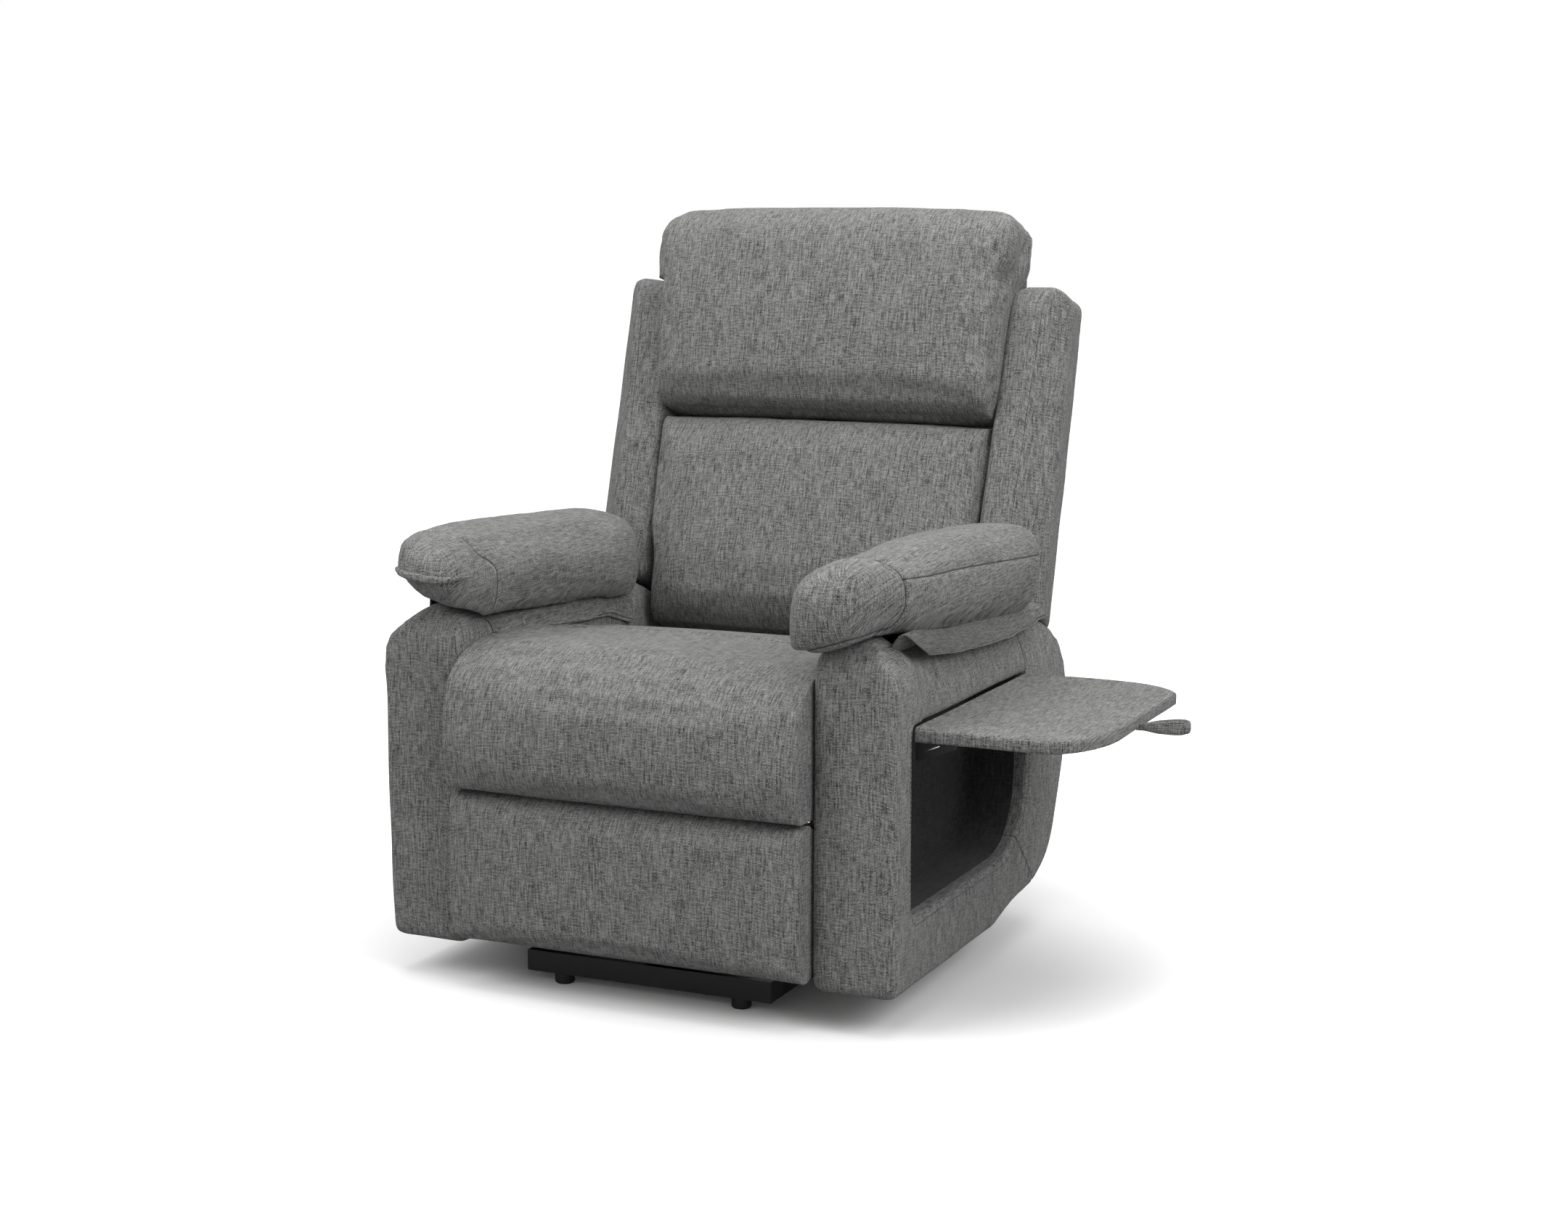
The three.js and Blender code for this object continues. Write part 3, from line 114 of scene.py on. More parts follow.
def ripple(points: Points, pitch: float, seed: int) -> Points:
    """Soft, fixed unevenness from a few crossed waves.

    Args:
        points: (n, 3) in millimetres.
        pitch: length of the waves in millimetres.
        seed: picks the directions and phases.

    Returns:
        (n,) values from about -1 to 1.
    """
    source = np.random.default_rng(seed)
    total = np.zeros(len(points))
    for _ in range(RIPPLE_WAVES):
        way = source.normal(size=3)
        way *= 2 * math.pi / (np.linalg.norm(way) * pitch * source.uniform(0.7, 1.5))
        total += np.sin(points @ way + source.uniform(0, 2 * math.pi))
    return total / RIPPLE_SUM


def curve(controls: Points, spots: Points) -> Points:
    """A smooth line through control points.

    Args:
        controls: (n, 3) points that it runs through.
        spots: distances along it, from its first point.

    Returns:
        The points at those distances.
    """
    parts = 8
    knots = np.concatenate([controls[:1], controls, controls[-1:]])
    fine = []
    for a, b, c, d in zip(knots, knots[1:], knots[2:], knots[3:]):
        for t in np.linspace(0, 1, parts + 1)[:-1]:
            fine.append(0.5 * (2 * b + (c - a) * t + (2 * a - 5 * b + 4 * c - d) * t ** 2
                               + (3 * b - a - 3 * c + d) * t ** 3))
    line = np.array([*fine, controls[-1]])
    along = np.concatenate([[0], np.cumsum(np.linalg.norm(np.diff(line, axis=0), axis=1))])
    return np.stack([np.interp(spots, along, line[:, i]) for i in range(3)], axis=1)


def reach(controls: Points) -> float:
    """Returns: the length of the straight pieces between control points."""
    return float(np.linalg.norm(np.diff(controls, axis=0), axis=1).sum())


# ---------------------------------------------------------------- shader wrappers
Operand = Union["Port", float, Triple]


class Port:
    """A value inside a shader, with arithmetic."""

    def __init__(self, shader: "Shader", socket: bpy.types.NodeSocket) -> None:
        """Args: shader: the node tree's owner. socket: the output that holds the value."""
        self.shader = shader
        self.socket = socket

    @staticmethod
    def _wide(value: Operand) -> bool:
        """Returns: whether a value is a vector or a colour."""
        return isinstance(value, (tuple, list)) or (
            isinstance(value, Port) and value.socket.type in ("VECTOR", "RGBA"))

    def _pair(self, operation: str, other: Operand, flipped: bool = False) -> "Port":
        """Adds a Math node, or a Vector Math node where an operand is a vector.

        Args:
            operation: what the node does.
            other: the second operand.
            flipped: puts the other operand first.

        Returns:
            The result.
        """
        values = (other, self) if flipped else (self, other)
        kind = "ShaderNodeVectorMath" if any(map(self._wide, values)) else "ShaderNodeMath"
        return self.shader.node(kind, dict(enumerate(values)), operation=operation)

    def __add__(self, other: Operand) -> "Port":
        """Returns: this value plus the other."""
        return self._pair("ADD", other)

    def __sub__(self, other: Operand) -> "Port":
        """Returns: this value minus the other."""
        return self._pair("SUBTRACT", other)

    def __mul__(self, other: Operand) -> "Port":
        """Returns: this value times the other."""
        return self._pair("MULTIPLY", other)

    def __radd__(self, other: Operand) -> "Port":
        """Returns: the other value plus this one."""
        return self._pair("ADD", other, True)

    def __rsub__(self, other: Operand) -> "Port":
        """Returns: the other value minus this one."""
        return self._pair("SUBTRACT", other, True)

    def __rmul__(self, other: Operand) -> "Port":
        """Returns: the other value times this one."""
        return self._pair("MULTIPLY", other, True)

    def sine(self) -> "Port":
        """Returns: the sine of a number."""
        return self.shader.node("ShaderNodeMath", {0: self}, operation="SINE")

    def size(self) -> "Port":
        """Returns: the absolute value of a number."""
        return self.shader.node("ShaderNodeMath", {0: self}, operation="ABSOLUTE")

    def remap(self, low: float, high: float, to_low: float = 0.0, to_high: float = 1.0) -> "Port":
        """Carries the value to another range and holds it at the ends.

        Args:
            low, high: ends of the range that it is read from.
            to_low, to_high: ends of the new range.

        Returns:
            The carried value.
        """
        return self.shader.node("ShaderNodeMapRange", {
            "Value": self, "From Min": low, "From Max": high, "To Min": to_low, "To Max": to_high})

    def split(self) -> tuple["Port", "Port", "Port"]:
        """Returns: the three parts of a vector."""
        parts = self.shader.node("ShaderNodeSeparateXYZ", {0: self})
        return tuple(Port(self.shader, out) for out in parts.socket.node.outputs)


class Shader:
    """One material's node tree."""

    def __init__(self, name: str, base: Triple, roughness: float, metallic: float = 0.0) -> None:
        """Starts a material with even values.

        Args:
            name: of the material.
            base: its colour.
            roughness, metallic: of its surface.
        """
        self.material = bpy.data.materials.new(name)
        self.material.use_nodes = True
        self.tree = self.material.node_tree
        self.surface = self.tree.nodes["Principled BSDF"]
        self.surface.inputs["Base Color"].default_value = (*base, 1)
        self.surface.inputs["Roughness"].default_value = roughness
        self.surface.inputs["Metallic"].default_value = metallic
        self.material.diffuse_color = (*base, 1)

    def node(self, kind: str, inputs: Optional[dict] = None, output: Union[int, str] = 0,
             **settings: str) -> Port:
        """Adds any node.

        Args:
            kind: the node's type.
            inputs: values or ports by socket name or number.
            output: which output to give back.
            settings: the node's own properties.

        Returns:
            The chosen output.
        """
        made = self.tree.nodes.new(kind)
        for key, value in settings.items():
            setattr(made, key, value)
        for key, value in (inputs or {}).items():
            if isinstance(value, Port):
                self.tree.links.new(value.socket, made.inputs[key])
            elif isinstance(value, (int, float)) and made.inputs[key].type == "VECTOR":
                made.inputs[key].default_value = (value, value, value)
            else:
                made.inputs[key].default_value = value
        return Port(self, made.outputs[output])

    def noise(self, at: Port, scale: Triple, detail: float = 2.0, roughness: float = 0.5) -> Port:
        """Adds noise.

        Args:
            at: the place that it is read at, in metres.
            scale: the grain is 1/scale metres long along each axis.
            detail, roughness: of its finer layers.

        Returns:
            The noise, from 0 to 1.
        """
        return self.node("ShaderNodeTexNoise", {
            "Vector": at * tuple(scale), "Scale": 1.0, "Detail": detail, "Roughness": roughness}, output=0)

    def mix(self, share: Operand, a: Operand, b: Operand) -> Port:
        """Mixes two colours.

        Args:
            share: 0 for a, 1 for b.
            a, b: the colours.

        Returns:
            The mixed colour.
        """
        made = self.tree.nodes.new("ShaderNodeMix")
        made.data_type = "RGBA"
        for socket, value in ((made.inputs[0], share), (made.inputs[6], a), (made.inputs[7], b)):
            if isinstance(value, Port):
                self.tree.links.new(value.socket, socket)
            else:
                socket.default_value = (*value, 1) if socket.type == "RGBA" else value
        return Port(self, made.outputs[2])

    def feed(self, name: str, value: Port) -> None:
        """Links a port to one of the surface's inputs."""
        self.tree.links.new(value.socket, self.surface.inputs[name])

    def bump(self, height: Port, distance: float, strength: float = 1.0) -> None:
        """Raises the surface by a height from 0 to 1, distance metres high."""
        self.feed("Normal", self.node("ShaderNodeBump", {
            "Height": height, "Distance": distance, "Strength": strength}))


# ---------------------------------------------------------------- finishes
class Slot(Enum):
    """Material slots of the record."""

    UPHOLSTERY = "upholstery"
    BLACK_STEEL = "black_steel"
    ZINC_STEEL = "zinc_steel"
    SPRING_STEEL = "spring_steel"
    BLACK_PLASTIC = "black_plastic"
    PLYWOOD = "plywood"


@dataclass(frozen=True)
class Fabric:
    """Heathered plain-woven cloth.

    Attributes:
        dark, light: colours of the darkest and lightest yarns.
        pitch: from one yarn to the next, in metres.
        relief: height of a yarn, in metres.
        yarns, flecks, streaks, crowns: what each adds to the tone. The last is painted shade of the weave:
            lighter on the yarns' tops, darker in the hollows between them.
        depth: taken off the tone.
        drift: how far a yarn wanders, as a share of the pitch.
    """

    name: str = "heather"
    dark: tuple[float, float, float] = (0.010, 0.010, 0.0098)
    light: tuple[float, float, float] = (0.31, 0.31, 0.304)
    pitch: float = 0.0022
    relief: float = 0.0009
    yarns: float = 0.58
    flecks: float = 0.15
    streaks: float = 0.26
    weave_shade: float = 0.38
    depth: float = 0.21
    drift: float = 0.55

    def make(self) -> bpy.types.Material:
        """Returns: the material, laid on the cloth's own unrolled coordinates."""
        shader = Shader(self.name, (0.13, 0.13, 0.127), 0.92)
        shader.surface.inputs["Sheen Weight"].default_value = 0.10
        shader.surface.inputs["Sheen Roughness"].default_value = 0.5
        shader.surface.inputs["Specular IOR Level"].default_value = 0.2
        at = shader.node("ShaderNodeUVMap", uv_map="cloth")
        drift = shader.noise(at, (90, 90, 1), 1.0) - (0.5, 0.5, 0.5)
        u, v, _ = (at + drift * (self.pitch * self.drift)).split()
        turn = math.pi / self.pitch
        across, along = (u * turn).sine(), (v * turn).sine()
        over = (across * along).remap(-0.35, 0.35)
        warp, weft = across.size(), along.size()
        height = weft + over * (warp - weft)
        fine = 1 / self.pitch
        warp_yarn = shader.noise(at, (fine * 0.9, fine * 0.12, 1), 2.0, 0.65)
        weft_yarn = shader.noise(at, (fine * 0.16, fine * 0.9, 1), 2.0, 0.65)
        fleck = shader.noise(at, (fine * 1.0, fine * 0.7, 1), 1.0, 0.6)
        streak = shader.noise(at, (fine * 0.8, fine * 0.06, 1), 2.0, 0.6)
        cloud = shader.noise(at, (30, 9, 1), 2.0, 0.5)
        yarn = weft_yarn + over * (warp_yarn - weft_yarn)
        # The weave's height adds painted shade to the tone: yarn tops lighter, the hollows between yarns
        # darker.
        tone = (yarn.remap(0.38, 0.62) * self.yarns + fleck.remap(0.36, 0.64) * self.flecks
                + streak.remap(0.38, 0.62) * self.streaks + height * self.weave_shade
                + cloud.remap(0.35, 0.65, -0.04, 0.04) - self.depth)
        colour = shader.mix(tone.remap(0.0, 1.0), self.dark, self.light)
        # Painted shade: the colour turns towards the darkest yarn along each seam's groove, read from the
        # seam distance.
        gap = shader.node("ShaderNodeAttribute", output="Fac", attribute_name="seam").size()
        sewn = gap.remap(0.5, 1.5, 0.85, 0.0)
        shader.feed("Base Color", shader.mix(sewn, colour, self.dark))
        shader.bump(height * 0.8 + yarn * 0.4, self.relief, 0.8)
        return shader.material


@dataclass(frozen=True)
class Coated:
    """A painted, moulded or plated surface with fine grain and rubbed patches.

    Attributes:
        base, roughness, metallic: of the even surface.
        grain: grains in a metre.
        relief: height of a grain, in metres.
        rub: how much the roughness varies.
    """

    name: str
    base: tuple[float, float, float]
    roughness: float
    metallic: float = 0.0
    grain: float = 900.0
    relief: float = 0.00008
    rub: float = 0.12

    def make(self) -> bpy.types.Material:
        """Returns: the material."""
        shader = Shader(self.name, self.base, self.roughness, self.metallic)
        at = shader.node("ShaderNodeTexCoord", output="Object")
        patches = shader.noise(at, (22, 22, 22), 4.0, 0.6)
        grain = shader.noise(at, (self.grain,) * 3, 2.0)
        smoothest, roughest = self.roughness - self.rub, self.roughness + self.rub
        shader.feed("Roughness", patches.remap(0.3, 0.7, smoothest, roughest))
        lighter = tuple(min(1.0, v * 1.5 + 0.004) for v in self.base)
        shader.feed("Base Color", shader.mix(patches.remap(0.5, 0.8), self.base, lighter))
        shader.bump(grain, self.relief, 0.6)
        return shader.material


@dataclass(frozen=True)
class Plywood:
    """Raw birch plywood: long grain, and plies at the edges."""

    name: str = "raw_ply"
    pale: tuple[float, float, float] = (0.62, 0.45, 0.27)
    dark: tuple[float, float, float] = (0.38, 0.24, 0.13)

    def make(self) -> bpy.types.Material:
        """Returns: the material."""
        shader = Shader(self.name, self.pale, 0.7)
        at = shader.node("ShaderNodeTexCoord", output="Object")
        grain = shader.noise(at, (9, 60, 260), 5.0, 0.6)
        plies = shader.noise(at, (700, 700, 3), 1.0)
        tone = grain.remap(0.35, 0.7) * 0.7 + plies.remap(0.4, 0.6) * 0.3
        shader.feed("Base Color", shader.mix(tone, self.pale, self.dark))
        shader.bump(grain, 0.0003, 0.4)
        return shader.material


class Finishes:
    """All finishes of the chair, each made once."""

    def __init__(self) -> None:
        """Makes every finish."""
        self.fabric = Fabric().make()
        # A much darker copy of the cloth for the pocket's inside: painted shade for the shadow in the pocket.
        self.pocket_shade = Fabric("pocket_shade", (0.003, 0.003, 0.003), (0.06, 0.06, 0.059)).make()
        self.thread = Coated("thread", (0.05, 0.05, 0.049), 0.8, grain=3000).make()
        self.black_steel = Coated("black_coat", (0.006, 0.006, 0.0065), 0.42, 0.0, 1400, 0.00010).make()
        self.zinc = Coated("zinc", (0.50, 0.51, 0.52), 0.38, 1.0, 500, 0.00003).make()
        self.spring = Coated("wire", (0.16, 0.165, 0.175), 0.4, 1.0).make()
        self.plastic = Coated("moulding", (0.008, 0.008, 0.0085), 0.5, 0.0, 2600, 0.00012).make()
        self.ply = Plywood().make()

    def of(self, slot: Slot) -> bpy.types.Material:
        """Returns: the finish of a record slot."""
        return {
            Slot.UPHOLSTERY: self.fabric, Slot.BLACK_STEEL: self.black_steel, Slot.ZINC_STEEL: self.zinc,
            Slot.SPRING_STEEL: self.spring, Slot.BLACK_PLASTIC: self.plastic, Slot.PLYWOOD: self.ply,
        }[slot]


# ---------------------------------------------------------------- seams
Field = Callable[[Points], Points]
FAR = 1000.0                # stands for no seam near by, in millimetres
SLOPE_STEP = 0.5
BOX_FADE = 14.0             # length over which a seam ends outside its box


def plane(normal: Triple, at: float) -> Field:
    """Returns: a field that is 0 on the plane normal . p = at."""
    return lambda points: points @ np.array(normal, float) - at


@dataclass(frozen=True)
class Seam:
    """A sewn line where the surface meets the zero level of a field, inside a box of the local frame.

    Attributes:
        field: a number for each local point, in millimetres; 0 on the seam.
        low, high: corners of the box that the seam stays in.
        depth, width: size of the groove.
        swell: height of the soft rise on both sides.
        pucker: height of the small gathers beside it.
        line: strength of the painted shade along the seam's groove, 0 for none.
    """

    field: Field
    low: Triple = (-2000, -2000, -2000)
    high: Triple = (2000, 2000, 2000)
    depth: float = 1.3
    width: float = 2.6
    swell: float = 0.5
    pucker: float = 0.25
    line: float = 1.0

    def distance(self, points: Points) -> Points:
        """Returns: the signed distance of each point from the seam."""
        value = self.field(points)
        slope = [(self.field(points + step) - value) / SLOPE_STEP for step in np.eye(3) * SLOPE_STEP]
        return value / np.maximum(np.linalg.norm(slope, axis=0), 1e-6)

    def share(self, points: Points) -> Points:
        """Returns: 1 inside the box, fading to 0 outside it."""
        beyond = np.maximum(np.maximum(np.array(self.low) - points, points - np.array(self.high)), 0)
        return 1 - smooth(np.linalg.norm(beyond, axis=1) / BOX_FADE)

    def press(self, points: Points) -> tuple[Points, Points]:
        """Works out the groove.

        Args:
            points: (n, 3) in local millimetres.

        Returns:
            The move along the outward normal, and the distance from the sewn line, both in millimetres.
        """
        gap = self.distance(points)
        share = self.share(points)
        groove = np.exp(-(gap / self.width) ** 2)
        rise = np.exp(-((np.abs(gap) - 3.2 * self.width) / (2.2 * self.width)) ** 2)
        gather = np.exp(-((np.abs(gap) - 2.5 * self.width) / (2.6 * self.width)) ** 2)
        wave = ripple(points, 15, 7) * 0.6 + ripple(points, 8, 11) * 0.4
        move = -self.depth * groove + self.swell * rise + self.pucker * wave * gather
        return move * share, gap / np.maximum(share * self.line, 1e-3)


# ---------------------------------------------------------------- soft meshes
class Lay(Enum):
    """How the cloth's two yarn directions lie on a piece."""

    CUSHION = "cushion"         # runs over the front and top in one length
    LENGTHWISE = "lengthwise"   # runs from front to back


class Skin:
    """A soft piece: a closed mesh that is remeshed, stuffed, creased and dressed."""

    CLOTH = {
        "quality": 4, "mass": 0.3, "tension_stiffness": 12, "compression_stiffness": 12, "shear_stiffness": 6,
        "bending_stiffness": 0.6, "use_pressure": True}
    HOLD_STEPS = 4              # levels of how firmly a point is held
    SEAM_HOLD = 5.0             # half width of the strip that a seam holds, in millimetres

    def __init__(self, name: str, place: Place, sources: Sequence[str]) -> None:
        """Copies the solids that the piece starts from.

        Args:
            name: the piece's name.
            place: the frame that its seams are given in.
            sources: CAD nodes whose solids are merged into the piece, and which it stands for.
        """
        self.name, self.place = name, place
        self.nodes = list(sources)
        corners, faces = [], []
        for source in sources:
            data = frame["nodes"][source].data
            start = sum(len(c) for c in corners)
            corners.append(np.array([v.co for v in data.vertices]))
            faces += [[start + i for i in p.vertices] for p in data.polygons]
        mesh = bpy.data.meshes.new(name)
        mesh.from_pydata(np.concatenate(corners).tolist(), [], faces)
        self.object = bpy.data.objects.new(name, mesh)
        bpy.context.scene.collection.objects.link(self.object)

    # ---- plain access
    @property
    def mesh(self) -> bpy.types.Mesh:
        """Returns: the mesh as it is now."""
        return self.object.data

    def points(self) -> Points:
        """Returns: the vertices in local millimetres."""
        flat = np.empty(len(self.mesh.vertices) * 3)
        self.mesh.vertices.foreach_get("co", flat)
        return self.place.local(flat.reshape(-1, 3))

    def set_points(self, points: Points) -> None:
        """Args: points: the new vertices in local millimetres."""
        self.mesh.vertices.foreach_set("co", self.place.row(points).ravel())
        self.mesh.update()

    def normals(self) -> Points:
        """Returns: the vertex normals in local axes."""
        flat = np.empty(len(self.mesh.vertices) * 3, np.float32)
        self.mesh.vertex_normals.foreach_get("vector", flat)
        return flat.reshape(-1, 3).astype(float) @ self.place.turn()

    def _apply(self) -> None:
        """Turns the modifiers' result into the mesh."""
        graph = bpy.context.evaluated_depsgraph_get()
        graph.update()
        fresh = bpy.data.meshes.new_from_object(self.object.evaluated_get(graph))
        self.object.modifiers.clear()
        self.object.data = fresh

    def _modify(self, kind: str, **settings: Union[str, float, bool]) -> bpy.types.Modifier:
        """Adds a modifier.

        Args:
            kind: its type.
            settings: its own properties.

        Returns:
            The modifier.
        """
        modifier = self.object.modifiers.new(kind.lower(), kind)
        for key, value in settings.items():
            setattr(modifier, key, value)
        return modifier

    # ---- shaping
    def remesh(self, voxel: float) -> "Skin":
        """Args: voxel: edge of the even mesh, in millimetres."""
        self._modify("REMESH", mode="VOXEL", voxel_size=voxel * MM, use_smooth_shade=True)
        self._apply()
        return self

    def relax(self, rounds: int) -> "Skin":
        """Args: rounds: how often the edges are softened."""
        self._modify("SMOOTH", iterations=rounds, factor=0.5)
        self._apply()
        return self

    def push(self, move: Callable[[Points], Points]) -> "Skin":
        """Args: move: gives each local point its move along the normal, in millimetres."""
        points = self.points()
        self.set_points(points + self.normals() * move(points)[:, None])
        return self

    def shift(self, move: Callable[[Points], Points]) -> "Skin":
        """Args: move: gives each local point its move in local millimetres, (n, 3)."""
        points = self.points()
        self.set_points(points + move(points))
        return self

    def keep(self, low: Triple, high: Triple) -> "Skin":
        """Holds the piece between its hard neighbours, given as a local box."""
        self.set_points(np.clip(self.points(), low, high))
        return self

    def stuff(self, shrink: float, cap: float, slack: float, held: Field, seams: Sequence[Seam] = (),
              pressure: float = 4.0, frames: int = 20) -> "Skin":
        """Blows the cover up from a smaller start with a cloth simulation.

        Args:
            shrink: how much smaller the start is, in millimetres.
            cap: how far a point may move from the start, in millimetres.
            slack: how much longer than the start the cloth is, as a share.
            held: 1 where the cloth is fixed, such as at its flat underside.
            seams: sewn lines, which hold the cover back.
            pressure: of the filling.
            frames: steps of the simulation.

        Returns:
            The piece itself.
        """
        whole = self.points()
        pinned = held(whole)
        free = 1 - smooth(pinned * 1.2)
        for seam in seams:
            near = np.exp(-(seam.distance(whole) / self.SEAM_HOLD) ** 2)
            pinned = np.maximum(pinned, seam.share(whole) * near)
        self.push(lambda p: -shrink * free)
        start = self.points()
        group = self.object.vertex_groups.new(name="held")
        levels = np.ceil(pinned * self.HOLD_STEPS - 0.4)
        for level in range(1, self.HOLD_STEPS + 1):
            chosen = np.nonzero(levels == level)[0]
            if len(chosen):
                group.add(chosen.tolist(), level / self.HOLD_STEPS, "REPLACE")
        cloth = self._modify("CLOTH")
        for key, value in self.CLOTH.items():
            setattr(cloth.settings, key, value)
        cloth.settings.shrink_min = -slack
        cloth.settings.uniform_pressure_force = pressure
        cloth.settings.effector_weights.gravity = 0
        cloth.settings.vertex_group_mass = "held"
        cloth.collision_settings.use_collision = False
        cloth.point_cache.frame_start, cloth.point_cache.frame_end = 1, frames
        scene = bpy.context.scene
        for number in range(1, frames + 1):
            scene.frame_set(number)
        self._apply()
        scene.frame_set(1)
        self.object.vertex_groups.clear()
        move = self.points() - start
        length = np.linalg.norm(move, axis=1, keepdims=True)
        self.set_points(start + move * np.minimum(1, cap / np.maximum(length, 1e-6)))
        self.relax(4)
        log.info("%s stuffed, moved up to %.1f mm", self.name, float(np.minimum(length, cap).max()))
        return self

    def refine(self) -> "Skin":
        """Splits every face once, smoothly."""
        self._modify("SUBSURF", levels=1, render_levels=1)
        self._apply()
        return self

    def sew(self, seams: Sequence[Seam]) -> "Skin":
        """Presses sewn lines in, with soft rises and gathers beside them.

        Args:
            seams: the sewn lines.

        Returns:
            The piece itself.
        """
        points, normals = self.points(), self.normals()
        total, nearest = np.zeros(len(points)), np.full(len(points), FAR)
        for seam in seams:
            move, gap = seam.press(points)
            total += move
            nearest = np.where(np.abs(gap) < np.abs(nearest), gap, nearest)
        self.set_points(points + normals * total[:, None])
        # The seam distance sets the painted shade that the cloth lays along each groove.
        layer = self.mesh.attributes.new("seam", "FLOAT", "POINT")
        layer.data.foreach_set("value", nearest.astype(np.float32))
        return self

    # ---- dressing
    def dress(self, lay: Lay, material: bpy.types.Material, seed: int) -> "Skin":
        """Lays the cloth on and gives it a finish.

        Args:
            lay: how the yarns run.
            material: the cloth.
            seed: moves the cloth so that no two pieces show the same patch.

        Returns:
            The piece itself.
        """
        mesh = self.mesh
        mesh.materials.clear()
        mesh.materials.append(material)
        mesh.polygons.foreach_set("use_smooth", [True] * len(mesh.polygons))
        points = self.points()
        count = len(mesh.polygons)
        normal = np.empty(count * 3, np.float32)
        mesh.polygons.foreach_get("normal", normal)
        normal = normal.reshape(-1, 3).astype(float) @ self.place.turn()
        down, normal = -normal[:, 2], np.abs(normal)
        totals = np.empty(count, np.int32)
        mesh.polygons.foreach_get("loop_total", totals)
        corners = np.empty(len(mesh.loops), np.int32)
        mesh.loops.foreach_get("vertex_index", corners)
        side = np.repeat(normal[:, 0] > np.maximum(normal[:, 1], normal[:, 2]) * 1.05, totals)
        top = np.repeat(normal[:, 2] > normal[:, 1], totals)
        x, y, z = points[corners].T
        if lay is Lay.CUSHION:
            under = np.repeat(down > 0.15, totals)
            u, v = np.where(side, y, x), np.where(side, z, z + np.where(under, 2 * y.min() - y, y))
        else:
            outwards = np.sign(x - (x.min() + x.max()) / 2)
            u, v = np.where(side | top, x + outwards * (z.max() - z), x), np.where(side | top, y, z)
        shift = np.random.default_rng(seed).uniform(0, 3000, 2)
        uv = np.stack([u + shift[0], v + shift[1]], axis=1) * MM
        layer = mesh.uv_layers.new(name="cloth")
        layer.data.foreach_set("uv", uv.ravel())
        return self

    def declare(self, body: str, fill: Optional[float] = 0.9) -> "Skin":
        """Ties the piece to its body and hides the CAD nodes that it stands for.

        Args:
            body: that it rides on.
            fill: not used.

        Returns:
            The piece itself.
        """
        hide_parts(*self.nodes)
        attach(self.object, body)
        log.info("%s: %d faces", self.name, len(self.mesh.polygons))
        return self

    def surface(self) -> BVHTree:
        """Returns: a tree for finding the surface, in row metres."""
        corners = [v.co for v in self.mesh.vertices]
        return BVHTree.FromPolygons(corners, [p.vertices for p in self.mesh.polygons])


class Cloth:
    """A sheet of cloth laid out as a grid of points."""

    def __init__(self, name: str, place: Place, grid: Points, thick: float, material: bpy.types.Material,
                 stitch: Optional[Points] = None) -> None:
        """Makes the sheet.

        Args:
            name: the piece's name.
            place: the grid's frame.
            grid: (rows, columns, 3) points in local millimetres; rows run along the warp.
            thick: thickness in millimetres.
            material: the cloth.
            stitch: (columns,) signed distances from a line of stitches, in millimetres, along which painted
                shade darkens the cloth.
        """
        rows, columns = grid.shape[:2]
        corner = np.arange(rows * columns).reshape(rows, columns)
        faces = np.stack([corner[:-1, :-1], corner[:-1, 1:], corner[1:, 1:], corner[1:, :-1]], axis=-1)
        faces = faces.reshape(-1, 4)
        mesh = bpy.data.meshes.new(name)
        mesh.from_pydata(place.row(grid.reshape(-1, 3)).tolist(), [], faces.tolist())
        mesh.materials.append(material)
        mesh.polygons.foreach_set("use_smooth", [True] * len(mesh.polygons))
        steps = [np.linalg.norm(np.diff(grid, axis=axis), axis=2) for axis in (0, 1)]
        along = np.concatenate([[0], np.cumsum(steps[0].mean(axis=1))])
        across = np.concatenate([[0], np.cumsum(steps[1].mean(axis=0))])
        uv = np.stack(np.meshgrid(across, along), axis=-1).reshape(-1, 2) * MM
        mesh.uv_layers.new(name="cloth").data.foreach_set("uv", uv[faces.ravel()].ravel())
        # The stitch distances fill the seam attribute, so the cloth paints shade along the stitched groove.
        gap = np.full(rows * columns, FAR) if stitch is None else np.tile(stitch, rows)
        mesh.attributes.new("seam", "FLOAT", "POINT").data.foreach_set("value", gap.astype(np.float32))
        self.flat = (float(steps[1].sum(axis=1).max()) * MM, float(steps[0].sum(axis=0).max()) * MM)
        self.area = sum(p.area for p in mesh.polygons)
        self.object = bpy.data.objects.new(name, mesh)
        bpy.context.scene.collection.objects.link(self.object)
        modifier = self.object.modifiers.new("thickness", "SOLIDIFY")
        modifier.thickness, modifier.offset = thick * MM, 0
        graph = bpy.context.evaluated_depsgraph_get()
        self.object.data = bpy.data.meshes.new_from_object(self.object.evaluated_get(graph))
        self.object.modifiers.clear()

    def declare(self, node: str, body: str, held: str, rests_on: Sequence[str]) -> None:
        """Ties the sheet to its body, hides its CAD node and logs how it is held.

        Args:
            node: the CAD node that it stands for.
            body: that it rides on.
            held: how it is held, such as hung.
            rests_on: not used.
        """
        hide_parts(node)
        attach(self.object, body)
        log.info("%s: %.0f x %.0f mm, %s", self.object.name, *(v / MM for v in self.flat), held)


